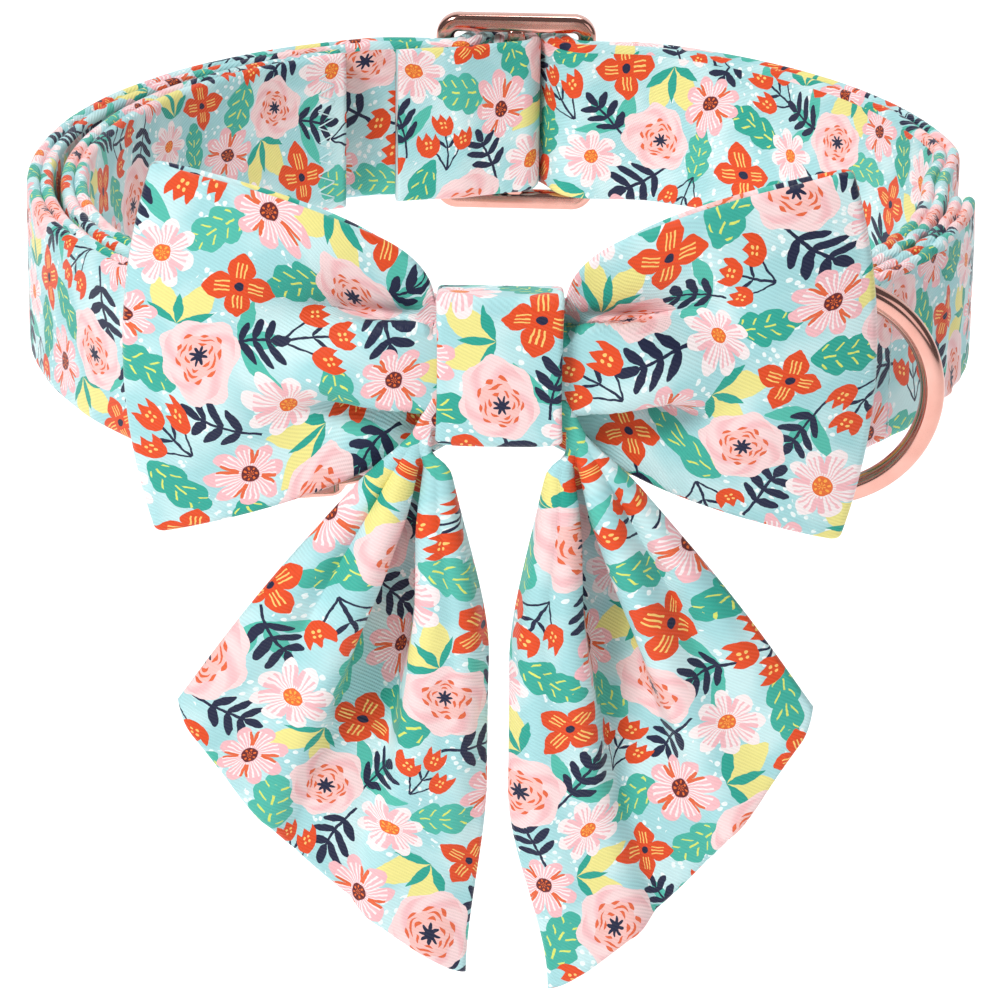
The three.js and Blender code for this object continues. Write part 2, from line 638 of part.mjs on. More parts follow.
// A tail leaves the knot at its side, turns down round the knot's corner and fans out to
// its hem. across runs from the inner edge to the outer edge, and down to the hem.
const TAIL_ACROSS = [0, 0.07, 0.14, 0.22, 0.3, 0.36, 0.42, 0.52, 0.59, 0.66, 0.73, 0.8, 0.9, 1];
const TAIL_FAN = [0, 0.05, 0.12, 0.2, 0.3, 0.42, 0.54, 0.66, 0.78, 0.9, 0.96, 1];
const HEM_BULGE = 3.4;
const HEM_ROUND_SHARE = 0.08; // share of the hem that each rounded corner takes
const OUTER_BULGE = 1.5;
const TAIL_BACK = 3; // that the hem hangs behind the gathered end
const TIP_ROUND = 1.2;
const CORNER_CLEAR = 0.5; // between a tail's inner edge and the knot's corner
const INNER_TURN = 2.3; // that the inner edge comes back in under the knot

// Shares of the way down a tail
const INNER_TURNED_BY = 0.05; // where its inner edge is back in under the knot
const INNER_STRAIGHT_BY = 0.4; // where its inner edge hangs straight down
const INNER_TO_TIP_FROM = 0.62; // where its inner edge leaves for the tip
const FOLDS_FULL_BY = 0.2;
const FOLDS_SOFTEN_FROM = 0.3;
const FOLDS_SOFT_BY = 0.9;
const FOLDS_SOFTENED = 0.75; // share of their depth that the folds lose on the way down

const tailPlane = knotBack + KNOT_ROOM - SMALL_GAP - TAIL_CLOTH / 2;
const between = (a, b, share) => ({ x: mix(a.x, b.x, share), z: mix(a.z, b.z, share) });

// Heights here are from the bow's middle.
const knotLow = KNOT_RAISED - KNOT_HEIGHT / 2;
const tailMouth = (across) => ({
  x: KNOT_WIDTH / 2 + CORNER_CLEAR,
  z: knotLow + TAIL_MOUTH_LOW + TAIL_MOUTH * across,
});
const tailStart = (across) => ({ x: KNOT_WIDTH / 2 - TAIL_START_IN, z: tailMouth(across).z });
const tailBend = (across) => ({
  x: KNOT_WIDTH / 2 + mix(CORNER_CLEAR, TAIL_BEND_OUT, across),
  z: knotLow + mix(-CORNER_CLEAR, TAIL_BEND_UP, across),
});

function tailHem(tail, across) {
  const bulge = HEM_BULGE * Math.sin(Math.PI * across) * Math.SQRT1_2;
  const hem = {
    x: mix(tail.tip, CORNER_OUT, across) + bulge,
    z: -mix(tail.tipDrop, CORNER_DROP, across) - bulge,
  };
  const roundedOff = clamp(1 - across / HEM_ROUND_SHARE) + clamp(1 - (1 - across) / HEM_ROUND_SHARE);
  const bend = tailBend(across);
  return between(hem, bend, (TIP_ROUND * roundedOff) / Math.hypot(hem.x - bend.x, hem.z - bend.z));
}

function fanPoint(tail, across, fan) {
  const point = between(tailBend(across), tailHem(tail, across), fan);
  const straight = between(tailBend(0), tailHem(tail, 0), fan);
  const turned = tailBend(0).x - INNER_TURN * smooth(fan / INNER_TURNED_BY);
  const hanging = mix(turned, tail.inner, smooth(fan / INNER_STRAIGHT_BY));
  const toTip = smooth((fan - INNER_TO_TIP_FROM) / (1 - INNER_TO_TIP_FROM));
  const inner = hanging + (tail.tip - tail.inner) * toTip;
  point.x += (inner - straight.x) * (1 - across) ** 2;
  point.x += OUTER_BULGE * across ** 3 * Math.sin(Math.PI * fan);
  return point;
}

function tailBody(tail) {
  const lines = [
    { place: tailStart, fan: 0 },
    { place: tailMouth, fan: 0 },
    ...TAIL_FAN.map((fan) => ({ place: (across) => fanPoint(tail, across, fan), fan })),
  ];
  const grid = lines.map(({ place, fan }) =>
    TAIL_ACROSS.map((across) => {
      const flat = place(across);
      const softer = smooth((fan - FOLDS_SOFTEN_FROM) / (FOLDS_SOFT_BY - FOLDS_SOFTEN_FROM));
      const strength = smooth(fan / FOLDS_FULL_BY) * (1 - FOLDS_SOFTENED * softer);
      const fold = TAIL_FOLD_DEPTH * strength * readTable(TAIL_FOLDS, "across", "forward", across);
      const y = -tailPlane - fold + TAIL_BACK * fan;
      return new THREE.Vector3(tail.side * flat.x, y, BOW_HEIGHT_ABOVE + flat.z);
    }),
  );
  return sheetBody(grid, TAIL_CLOTH, false);
}

// The assembly
const collar = new THREE.Group();
function add(name, geometry, finish) {
  const mesh = new THREE.Mesh(geometry, finish);
  mesh.name = name;
  collar.add(mesh);
  return mesh;
}

add("strap", strapBody(), cloth);
add("slider_tab", tabBody(), cloth);
const slider = add("slider", sliderBody(), roseGold);
const sliderTurn = degrees(SLIDER_ANGLE);
slider.position.set(sliderPlane * Math.sin(sliderTurn), -sliderPlane * Math.cos(sliderTurn), 0);
slider.rotation.set(Math.PI / 2, sliderTurn, 0);
add("buckle", buckleBody(), roseGold);
const ring = add("d_ring", ringBody(), roseGold);
ring.position.copy(onLoop(ringBar.s, ringBar.out, -RING_DROP));
add("elastic_loop", elasticBody(), elastic);
add("bow_loop", bowBody(), cloth);
add("knot_band", knotBody(), cloth);
for (const tail of TAILS) {
  add(tail.name, tailBody(tail), cloth);
}

export default collar;
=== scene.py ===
# %% [markdown]
# A pet collar with a bow tie. The real thing is a strap of floral cotton on rose gold
# hardware, with a hollow bow, a square knot and two gathered tails in the same cotton.
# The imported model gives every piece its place, and this script gives it its cloth,
# its stitches and its metal. Lengths are in millimetres until a mesh is made.

# %% The frame
import math

import bmesh
import bpy
import numpy as np
from mathutils import Matrix, Vector


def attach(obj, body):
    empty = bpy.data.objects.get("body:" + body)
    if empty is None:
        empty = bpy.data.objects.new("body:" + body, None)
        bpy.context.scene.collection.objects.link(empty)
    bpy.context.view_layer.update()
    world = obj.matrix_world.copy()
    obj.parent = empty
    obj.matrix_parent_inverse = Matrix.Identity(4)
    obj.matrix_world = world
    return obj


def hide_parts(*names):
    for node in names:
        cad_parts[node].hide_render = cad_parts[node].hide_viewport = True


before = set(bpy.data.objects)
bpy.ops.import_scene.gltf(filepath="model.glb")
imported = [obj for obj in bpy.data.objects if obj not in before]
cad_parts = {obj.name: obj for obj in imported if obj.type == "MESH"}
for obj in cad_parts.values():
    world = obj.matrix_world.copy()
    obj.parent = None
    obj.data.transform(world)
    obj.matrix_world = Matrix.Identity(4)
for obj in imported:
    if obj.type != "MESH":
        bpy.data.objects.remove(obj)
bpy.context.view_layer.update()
MM = 0.001


def new_object(name, data):
    """An object that holds the data, put into the scene."""
    made = bpy.data.objects.new(name, data)
    bpy.context.scene.collection.objects.link(made)
    return made


# %% [markdown]
# The photograph is taken from about 0.8 m with a long lens, 19 degrees above the strap,
# and the collar hangs low in it. A camera can be moved, shifted or turned for that. A
# turn is chosen, because a shift this large would follow the camera into other views.

# %% The camera
EYE_DISTANCE = 800  # mm
EYE_ABOVE = math.radians(19.2)
FOCUS = 5520  # pixels of a 1000 pixel image
LENS_SENSOR = 36
IMAGE = 1000
MIDDLE_RIGHT = 2.03  # pixels from the line to the origin to the image's middle
MIDDLE_DOWN = 248  # pixels
ROLL = math.radians(0.7)

ahead = Vector((0, math.cos(EYE_ABOVE), -math.sin(EYE_ABOVE)))
right = Vector((1, 0, 0))
down = Vector((0, -math.sin(EYE_ABOVE), -math.cos(EYE_ABOVE)))
look = (ahead * FOCUS + right * MIDDLE_RIGHT + down * MIDDLE_DOWN).normalized()
across_image = right * math.cos(ROLL) - down * math.sin(ROLL)
across_image = (across_image - look * across_image.dot(look)).normalized()
up_image = across_image.cross(look)

lens = bpy.data.cameras.new("camera")
lens.sensor_width = LENS_SENSOR
lens.lens = FOCUS * LENS_SENSOR / IMAGE
camera = new_object("camera", lens)
turn = Matrix((across_image, up_image, -look)).transposed()
camera.matrix_world = Matrix.Translation(-ahead * EYE_DISTANCE * MM) @ turn.to_4x4()
bpy.context.scene.camera = camera
print("lens", round(lens.lens, 1), "mm")

# %% [markdown]
# A product picture is lit from all round, with a stronger soft light above the camera
# to one side, so folds show and shadows stay faint. Large area lights and a pale world
# do that, over one pale floor that turns up into a backdrop far behind.

# %% Lights
LIGHTS_AIM = Vector((0, -0.05, -0.01))  # metres, near the bow


def add_light(name, place, size, watts):
    """A square area light at a place in metres, turned towards the bow."""
    light = bpy.data.lights.new(name, "AREA")
    light.shape = "SQUARE"
    light.size = size
    light.energy = watts
    holder = new_object(name, light)
    holder.location = place
    holder.rotation_euler = (LIGHTS_AIM - Vector(place)).to_track_quat("-Z", "Y").to_euler()


add_light("key_light", (-0.6, -0.75, 0.95), 0.34, 15)
add_light("fill_light", (1.1, -0.9, 0.5), 0.8, 2)
add_light("top_light", (0.25, 0.5, 1.2), 0.6, 7)

world = bpy.data.worlds.new("studio")
bpy.context.scene.world = world
world.use_nodes = True
sky = world.node_tree.nodes["Background"]
sky.inputs["Color"].default_value = (0.97, 0.985, 1, 1)
sky.inputs["Strength"].default_value = 0.13
bpy.context.scene.view_settings.view_transform = "Standard"
print("three soft lights")

# %% [markdown]
# The floor and the backdrop are one sheet of paper in a studio, rolled out with a round
# bend. A plane and a wall would show a line where they meet.

# %% Floor and backdrop
FLOOR = -0.17
FLOOR_FRONT = -1.6
BEND_START = 1.3
BEND = 0.5
BACKDROP_TOP = 2.2
HALF_WIDTH = 2.4

bend = np.linspace(0, math.pi / 2, 12)
sweep_y = np.concatenate([[FLOOR_FRONT], BEND_START + BEND * np.sin(bend), [BEND_START + BEND]])
sweep_z = np.concatenate([[FLOOR], FLOOR + BEND * (1 - np.cos(bend)), [BACKDROP_TOP]])
sweep = [(x, y, z) for y, z in zip(sweep_y, sweep_z) for x in (-HALF_WIDTH, HALF_WIDTH)]
strips = [(2 * k, 2 * k + 1, 2 * k + 3, 2 * k + 2) for k in range(len(sweep_y) - 1)]
floor_mesh = bpy.data.meshes.new("floor")
floor_mesh.from_pydata(sweep, [], strips)
floor_mesh.shade_smooth()
floor = new_object("floor", floor_mesh)
pale = bpy.data.materials.new("pale floor")
pale.use_nodes = True
pale_shader = pale.node_tree.nodes["Principled BSDF"]
pale_shader.inputs["Base Color"].default_value = (0.93, 0.93, 0.93, 1)
pale_shader.inputs["Roughness"].default_value = 0.9
pale_shader.inputs["Specular IOR Level"].default_value = 0.1
pale_shader.inputs["Emission Color"].default_value = (1, 1, 1, 1)
pale_shader.inputs["Emission Strength"].default_value = 0.4
floor_mesh.materials.append(pale)
print("floor at", FLOOR, "m")

# %% [markdown]
# A print is easiest to write as arithmetic: how far is this thread from the middle of a
# flower, and at which angle? Blender does sums with Math nodes, one node for each sign.
# The small class below lets Python's own signs make those nodes, so that a petal can be
# read as a formula. Wiring five hundred nodes by hand would give the same picture.


# %% Sums made of nodes
class Sum:
    """A number on the surface, held by a node's output. Signs between two of them, or
    with a plain number, add the Math node that works the result out."""

    def __init__(self, tree, output):
        self.tree = tree
        self.output = output

    def math(self, operation, *others, clamp=False):
        node = self.tree.nodes.new("ShaderNodeMath")
        node.operation = operation
        node.use_clamp = clamp
        for slot, value in zip(node.inputs, (self, *others)):
            plug(self.tree, slot, value)
        return Sum(self.tree, node.outputs[0])

    def __add__(self, other):
        return self.math("ADD", other)

    def __sub__(self, other):
        return self.math("SUBTRACT", other)

    def __mul__(self, other):
        return self.math("MULTIPLY", other)

    def __truediv__(self, other):
        return self.math("DIVIDE", other)

    def __lt__(self, other):
        return self.math("LESS_THAN", other)

    def __gt__(self, other):
        return self.math("GREATER_THAN", other)

    def __and__(self, other):
        """Both of two masks, which are 0 or 1, so the product is 1 where both are."""
        return self.math("MULTIPLY", other)

    def __or__(self, other):
        """Either of two masks, so the larger one."""
        return self.math("MAXIMUM", other)

    def __abs__(self):
        return self.math("ABSOLUTE")

    def sine(self):
        return self.math("SINE")

    def cosine(self):
        return self.math("COSINE")

    def root(self):
        return self.math("SQRT")

    def at_least(self, other):
        return self.math("MAXIMUM", other)

    def near(self, value, within):
        return self.math("COMPARE", value, within)

    def wrapped(self, half):
        """The same number, brought between minus half and half by whole steps."""
        return self.math("WRAP", half, -half)


def plug(tree, slot, value):
    """Links a Sum or an output to a slot, or writes a plain value into it."""
    if isinstance(value, Sum):
        value = value.output
    if isinstance(value, bpy.types.NodeSocket):
        tree.links.new(value, slot)
    else:
        slot.default_value = value


def vector(tree, operation, *values):
    """A Vector Math node. Gives its vector, or its number for a length."""
    node = tree.nodes.new("ShaderNodeVectorMath")
    node.operation = operation
    slots = [node.inputs[0], node.inputs["Scale"]] if operation == "SCALE" else node.inputs
    for slot, value in zip(slots, values):
        plug(tree, slot, value)
    return node.outputs["Value" if operation == "LENGTH" else "Vector"]


def split(tree, place):
    """The three numbers of a vector."""
    node = tree.nodes.new("ShaderNodeSeparateXYZ")
    tree.links.new(place, node.inputs[0])
    return [Sum(tree, output) for output in node.outputs]


def paint(tree, under, over, where):
    """One colour over another where a mask is 1."""
    node = tree.nodes.new("ShaderNodeMix")
    node.data_type = "RGBA"
    plug(tree, node.inputs["Factor"], where)
    plug(tree, node.inputs["A"], under)
    plug(tree, node.inputs["B"], over)
    return node.outputs["Result"]


def srgb(red, green, blue):
    """A colour as a picture shows it, 0 to 255, as the linear light a shader needs."""
    shown = np.array([red, green, blue]) / 255
    light = np.where(shown <= 0.04045, shown / 12.92, ((shown + 0.055) / 1.055) ** 2.4)
    return (*light.tolist(), 1)


print("a Sum for every number on the cloth")

# %% [markdown]
# The print: roses, daisies, orange blossoms and tulip buds on pale aqua, with teal
# leaves, navy sprigs and pale yellow leaves between them. It is a generic spring floral
# with a layout of its own. A scatter of random points would let flowers cut each other,
# so the motifs sit on two square nets instead, the leaves in the gaps of the flowers.
# A slow warp of the cloth's coordinates hides the nets and bends each motif a little,
# as a brush would.

# %% Colours of the print
GROUND = srgb(168, 218, 222)
GROUND_PALE = srgb(204, 236, 238)
ROSE_PALE = srgb(251, 218, 218)
ROSE_MID = srgb(246, 186, 190)
ROSE_HEART = srgb(249, 194, 188)
CORAL = srgb(232, 104, 62)
NAVY = srgb(30, 36, 66)
DAISY_WHITE = srgb(252, 238, 238)
DAISY_PINK = srgb(247, 188, 194)
DAISY_LINE = srgb(246, 192, 198)
POLLEN = srgb(236, 110, 48)
HONEY = srgb(252, 176, 70)
BROWN = srgb(104, 34, 38)
ORANGE = srgb(228, 76, 30)
YELLOW_LINE = srgb(252, 206, 116)
TEAL = srgb(40, 164, 146)
TEAL_PALE = srgb(84, 190, 172)
LEAF_LINE = srgb(222, 232, 110)
YELLOW = srgb(240, 230, 142)
WHITE = srgb(240, 250, 250)

NET = 11.4  # mm between two flowers
BLOWN_UP = 1.12  # times that the motifs are larger than their formulas say
NET_TURN = math.radians(27)
KINDS = 5  # of motifs on a net


def net_cell(tree, place, shift):
    """Where a thread lies in its square of a turned net, shifted by a share of a square:
    x and y in mm from the middle of the square, turned by a chance angle; the kind of
    motif there; and three chance numbers. A knight's move over the net gives each square
    its kind, so two of the same kind are never side by side: column plus twice the row,
    modulo five."""
    mapping = tree.nodes.new("ShaderNodeMapping")
    mapping.inputs["Scale"].default_value = (1 / NET, 1 / NET, 1)
    mapping.inputs["Rotation"].default_value = (0, 0, NET_TURN)
    mapping.inputs["Location"].default_value = (shift, shift, 0)
    tree.links.new(place, mapping.inputs["Vector"])
    cell = vector(tree, "FLOOR", mapping.outputs[0])
    inside = vector(tree, "FRACTION", mapping.outputs[0])
    inside = vector(tree, "SUBTRACT", inside, (0.5, 0.5, 0))
    inside = vector(tree, "SCALE", inside, NET / BLOWN_UP)
    chance = tree.nodes.new("ShaderNodeTexWhiteNoise")
    chance.noise_dimensions = "2D"
    tree.links.new(cell, chance.inputs["Vector"])
    chances = split(tree, chance.outputs["Color"])
    column, row, _ = split(tree, cell)
    kind = (column + row * 2).math("FLOORED_MODULO", KINDS)
    turned = tree.nodes.new("ShaderNodeVectorRotate")
    turned.rotation_type = "Z_AXIS"
    tree.links.new(inside, turned.inputs["Vector"])
    plug(tree, turned.inputs["Angle"], chances[0] * (2 * math.pi))
    x, y, _ = split(tree, turned.outputs[0])
    return x, y, kind, chances


print("flowers every", NET, "mm")

# %% [markdown]
# A rose is a cloud-edged disc with a darker heart, three broken rings of coral strokes
# and a navy star. A daisy is a disc whose edge dips half way in eight times. A blossom
# is one petal, with the angle folded so that it repeats four times.


# %% Round flowers
def rose(tree, under, radius, angle):
    """Petals where the radius is under 4.8 mm plus a seven-fold wave; strokes where it
    is close to a ring with five lobes, and a wave of the angle is high."""
    edge = (angle * 7).sine() * 0.26 + 4.8
    curl = (angle * 5 + radius * 2.2).sine() * 0.5 + 0.3
    flower = paint(tree, ROSE_PALE, ROSE_MID, curl.at_least(0) & (radius < 4.3))
    lobes = (angle * 5 + 0.6).sine() * 0.17
    flower = paint(tree, flower, ROSE_HEART, (radius - lobes) < 2.6)
    for ring, strokes, start, half in ((1.5, 6, 0.2, 0.13), (2.1, 4, 1.4, 0.1), (2.7, 9, 2.9, 0.15)):
        stroke = (angle * strokes + start).sine()
        width = stroke.math("MULTIPLY_ADD", half, half * 0.5)
        flower = paint(tree, flower, CORAL, abs(radius - lobes - ring) < width)
    star = (angle * 8).sine().math("MULTIPLY_ADD", 0.3, 0.86)
    flower = paint(tree, flower, NAVY, radius < star)
    return paint(tree, under, flower, radius < edge)


def daisy(tree, under, radius, angle, petal, line, wedge, middle, dot):
    """Eight petals where the radius is under 2.05 mm plus 2.3 times the root of a wave;
    thin lines along each, four wedges between them, and a round middle with dots."""
    swing = abs((angle * 4).cosine())
    petals = radius < swing.root() * 2.3 + 2.05
    streak = (angle * 32).cosine() > 0.35
    flower = paint(tree, petal, line, streak & (swing > 0.5) & (abs(radius - 2.3) < 1.15))
    flower = paint(tree, flower, line, (swing < 0.2) & (radius > 1))
    between_petals = (angle * 4).sine() > 0.78
    flower = paint(tree, flower, wedge, between_petals & (abs(radius - 2.4) < 1))
    flower = paint(tree, flower, middle, radius < 1.05)
    dots = ((angle * 7).sine() * (radius * 7).sine()) > 0.3
    flower = paint(tree, flower, dot, dots & (radius < 0.95))
    return paint(tree, under, flower, petals)


def blossom(tree, under, radius, angle):
    """Four pointed petals, each as wide as a sine of the way along it, with three pale
    lines, round a dark dot."""
    folded = angle.wrapped(math.pi / 4)
    along = radius * folded.cosine()
    aside = abs(radius * folded.sine())
    petals = (aside < (along * (math.pi / 4.2)).sine() * 1.55) & (along < 4.1)
    lines = (aside < 0.09) | (abs(aside - 0.48) < 0.09)
    flower = paint(tree, ORANGE, YELLOW_LINE, lines & (abs(along - 1.9) < 0.85))
    flower = paint(tree, flower, NAVY, radius < 0.55)
    return paint(tree, under, flower, petals | (radius < 1))


print("rose, daisy and blossom are waves of an angle")

# %% [markdown]
# Buds, leaves and sprigs have a length, so they use x and y. Folding x at the middle
# line draws both halves with one formula, as folded paper is cut.


# %% Buds, leaves and sprigs
def tulip(tree, under, x, y):
    """One bud: a round cup, cut off above by three teeth, with four pale dots in it."""
    cup = ((x * x * 0.85 + y * y * 0.6).root() < 1.5) & ((x.math("PINGPONG", 0.7) * 1.4 + y) < 1.35)
    dot_x = abs(x) - 0.32
    dot_y = abs(y + 0.35) - 0.32
    dots = (dot_x * dot_x + dot_y * dot_y) < 0.035
    return paint(tree, under, paint(tree, ORANGE, YELLOW_LINE, dots), cup)


def buds(tree, under, x, y):
    """Three tulip buds on thin stems that spread from one foot, with a pair of navy
    leaves on the way."""
    side = abs(x)
    stems = (abs(side - (y + 3.9) * 0.75) < 0.15) & (abs(y + 2.3) < 1.6)
    stems = stems | ((side < 0.15) & (abs(y + 1.4) < 2.5))
    leaf_x = side - 0.85
    leaf_y = y + 0.4 - leaf_x * 0.9
    stems = stems | ((leaf_x * leaf_x * 1.6 + leaf_y * leaf_y * 9) < 0.8)
    painted = paint(tree, under, NAVY, stems)
    painted = tulip(tree, painted, side - 2.75, y - side * 0.25 + 0.5)
    return tulip(tree, painted, x, y - 2.5)


def broad_leaf(tree, under, x, y, shade):
    """A lobed leaf: its half width is the root of a sine of the length, with scallops;
    its veins are short pale dashes, one row along it and one slanting on each side."""
    side = abs(x)
    along = (y + 4.3) * (math.pi / 8.6)
    width = along.sine().at_least(0).root() * (abs(((along - side * 0.22) * 2.6).sine()) * 0.75 + 1.75)
    leaf = (side < width) & (abs(y) < 4.3)
    green = paint(tree, TEAL, TEAL_PALE, shade)
    middle = (side < 0.12) & ((y * 2.2).sine() > 0) & (y < 2.9)
    slant = (y - side * 0.95).wrapped(0.95)
    ribs = (abs(slant) < 0.15) & (side > 0.55) & (side < 1.45) & (abs(y) < 3)
    green = paint(tree, green, LEAF_LINE, middle | ribs)
    return paint(tree, under, green, leaf)


def sprig(tree, under, x, y):
    """A stem with pairs of leaflets. A leaflet is thin at both ends: its half width is
    the root of its share of the length times the rest of it."""
    side = abs(x)
    stem = (side < 0.19) & (abs(y + 0.5) < 3.9)
    low = y - side * 0.55
    reach = (low * low).math("MULTIPLY_ADD", -0.09, 2.85).at_least(0.01)
    share = side / reach
    slant = low.wrapped(0.92)
    width = (share * (share.math("MULTIPLY_ADD", -1, 1).at_least(0))).root() * 1.25
    leaflets = (abs(slant) < width) & (abs(low + 0.1) < 2.9)
    top = (x * x * 4 + (y - 3.6) * (y - 3.6)) < 1.5
    return paint(tree, under, NAVY, stem | leaflets | top)


def slim_leaves(tree, under, radius, angle, count, spread, length, half, colour):
    """A number of leaves that fan out from one point, an angle of spread apart: the angle
    is folded into one leaf, whose half width is half times a sine of the way along it."""
    turned_by = angle + spread / 2 if count % 2 == 0 else angle
    folded = turned_by.wrapped(spread / 2)
    along = radius * folded.cosine()
    aside = abs(radius * folded.sine())
    leaf = aside < (along * (math.pi / length)).sine() * half
    return paint(tree, under, colour, leaf & (radius < length) & (abs(angle) < count * spread / 2))


print("buds, leaves and sprigs are folded paper")

# %% [markdown]
# The print is painted as a maker's screens lay it down, colour over colour: the clouds
# and dots of the ground, then the leaves, then the flowers over both. Each screen asks
# its net for the kind of motif at a thread, and takes that motif's colour.

# %% The print on the cloth
WARP = 5.5  # mm that a motif is moved and bent by
WARP_SCALE = 0.055  # of the noise, per mm
BRUSH = 0.34
BRUSH_SCALE = 0.8
CLOUD_SCALE = 0.12
DOTS_SCALE = 0.75
PATCH_SCALE = 0.2


def cloth_place(tree):
    """The piece's own cloth coordinates, in mm, as the cloth lay when it was printed."""
    own = tree.nodes.new("ShaderNodeUVMap")
    own.uv_map = "cloth"
    return vector(tree, "SCALE", own.outputs[0], 1000)


def noise(tree, place, scale):
    """Soft noise over the cloth, with its scale given per millimetre."""
    node = tree.nodes.new("ShaderNodeTexNoise")
    node.noise_dimensions = "2D"
    node.inputs["Scale"].default_value = scale
    node.inputs["Detail"].default_value = 1
    tree.links.new(place, node.inputs["Vector"])
    return node


def moved(tree, place, scale, amount):
    """The place moved by a noise's colour less a half, times an amount in mm."""
    colour = noise(tree, place, scale).outputs["Color"]
    offset = vector(tree, "SUBTRACT", colour, (0.5, 0.5, 0.5))
    offset = vector(tree, "SCALE", offset, amount)
    return vector(tree, "ADD", place, offset)


def ground(tree, place):
    """Pale clouds on aqua, with patches of small white dots."""
    cloud = (Sum(tree, noise(tree, place, CLOUD_SCALE).outputs[0]) - 0.42) * 4
    colour = paint(tree, GROUND, GROUND_PALE, cloud.math("MULTIPLY", 1, clamp=True))
    dots = tree.nodes.new("ShaderNodeTexVoronoi")
    dots.voronoi_dimensions = "2D"
    dots.inputs["Scale"].default_value = DOTS_SCALE
    tree.links.new(place, dots.inputs["Vector"])
    patch = Sum(tree, noise(tree, place, PATCH_SCALE).outputs[0]) > 0.56
    return paint(tree, colour, WHITE, (Sum(tree, dots.outputs["Distance"]) < 0.24) & patch)


def choose(tree, under, kind, layers):
    """Of a list of layers, the one whose number is the square's kind."""
    for number, layer in enumerate(layers):
        under = paint(tree, under, layer, kind.near(number, 0.5))
    return under


def foliage(tree, colour, place):
    """Leaves and sprigs. The slim leaves fan out from a foot below the middle."""
    x, y, kind, chances = net_cell(tree, place, 0.5)
    low = y + 2.6
    radius = (x * x + low * low).root()
    angle = (low.math("ARCTAN2", x) - math.pi / 2).wrapped(math.pi)
    pale_pair = slim_leaves(tree, colour, radius, angle, 2, 1.05, 7.4, 1.7, YELLOW)
    teal_trio = slim_leaves(tree, colour, radius, angle, 3, 0.95, 6.4, 0.95, TEAL_PALE)
    return choose(tree, colour, kind, [
        broad_leaf(tree, colour, x, y, chances[1]),
        sprig(tree, colour, x, y),
        slim_leaves(tree, pale_pair, radius, angle, 3, 1.05, 4.6, 0.6, TEAL),
        sprig(tree, teal_trio, x * 1.1, y * 1.05 + 0.4),
        broad_leaf(tree, colour, y, x, chances[1]),
    ])


def flowers(tree, under, place):
    """Flowers and buds, on a net whose squares lie over the corners of the other one."""
    x, y, kind, _ = net_cell(tree, place, 0)
    radius = (x * x + y * y).root()
    angle = y.math("ARCTAN2", x)
    return choose(tree, under, kind, [
        rose(tree, under, radius, angle),
        daisy(tree, under, radius, angle, DAISY_WHITE, DAISY_LINE, DAISY_PINK, POLLEN, HONEY),
        blossom(tree, under, radius, angle),
        buds(tree, under, x, y),
        daisy(tree, under, radius, angle, DAISY_PINK, DAISY_WHITE, CORAL, BROWN, POLLEN),
    ])


def floral(tree, place):
    """The whole print, from the ground up, on a place that a slow and a fine noise move."""
    place = moved(tree, place, WARP_SCALE, WARP)
    place = moved(tree, place, BRUSH_SCALE, BRUSH)
    return flowers(tree, foliage(tree, ground(tree, place), place), place)


print("one print of", 2 * KINDS, "kinds of motif")

# %% [markdown]
# The cloth itself is a light cotton with a fine twill rib and a soft satin sheen. A
# plain colour would look like plastic, so the rib is a bump a few hundredths of a
# millimetre deep, the colour is painted darker in each rib's groove as shade, and
# sheen lifts the edges.

# %% The cotton
RIB = 0.46  # mm between two ribs
RIB_SLANT = (0.45, 0.89)  # the direction across the ribs
WEAVE = RIB * 0.62  # mm between two threads along a rib
RIB_DEPTH = 0.00003  # metres


def wave(number, spacing):
    """A sine that comes back at every spacing, in mm."""
    return (number * (2 * math.pi / spacing)).sine()


def raise_by(tree, shader, height, depth, strength):
    """A bump: the finish is shaded as if its threads stood up by depth, in metres."""
    bump = tree.nodes.new("ShaderNodeBump")
    bump.inputs["Distance"].default_value = depth
    bump.inputs["Strength"].default_value = strength
    tree.links.new(height.output, bump.inputs["Height"])
    tree.links.new(bump.outputs[0], shader.inputs["Normal"])


def new_material(name):
    """A material with its shader and its node tree."""
    made = bpy.data.materials.new(name)
    made.use_nodes = True
    tree = made.node_tree
    return made, tree, tree.nodes["Principled BSDF"]


cloth, tree, shader = new_material("printed cotton")
place = cloth_place(tree)
printed = floral(tree, place)
x, y, _ = split(tree, place)
rib = wave(x * RIB_SLANT[0] + y * RIB_SLANT[1], RIB)
weft = wave(x * RIB_SLANT[1] - y * RIB_SLANT[0], WEAVE)
# Painted shade: the base colour is multiplied down by up to a tenth where the rib is low, so each
# groove of the twill is darker.
rib_groove_shade = rib.math("MULTIPLY_ADD", 0.045, 0.95)
shaded = tree.nodes.new("ShaderNodeMix")
shaded.data_type = "RGBA"
shaded.blend_type = "MULTIPLY"
shaded.inputs["Factor"].default_value = 1
tree.links.new(printed, shaded.inputs["A"])
tree.links.new(rib_groove_shade.output, shaded.inputs["B"])
tree.links.new(shaded.outputs["Result"], shader.inputs["Base Color"])
raise_by(tree, shader, rib + weft * 0.4, RIB_DEPTH, 0.8)
shader.inputs["Roughness"].default_value = 0.5
shader.inputs["Specular IOR Level"].default_value = 0.25
shader.inputs["Sheen Weight"].default_value = 0.12
shader.inputs["Sheen Roughness"].default_value = 0.4
print("printed cotton", len(tree.nodes), "nodes")

# %% [markdown]
# The hardware is zinc alloy with a rose gold plating: a mirror with a pink tint, with
# faint brushed wear. The elastic behind the knot is white, with ribs along it, and its
# colour is painted darker between the ribs as shade. The sewing thread is a clear nylon
# at the strap's ends, so it shows as small pale lines.

# %% Metal, elastic and thread
HAZE_SCALE = 260  # per metre
TWIST_SCALE = 3000
CORD_RIB = 0.9  # mm between two ribs of the elastic
CORD_WEFT = 0.5
CORD_DEPTH = 0.00012  # metres


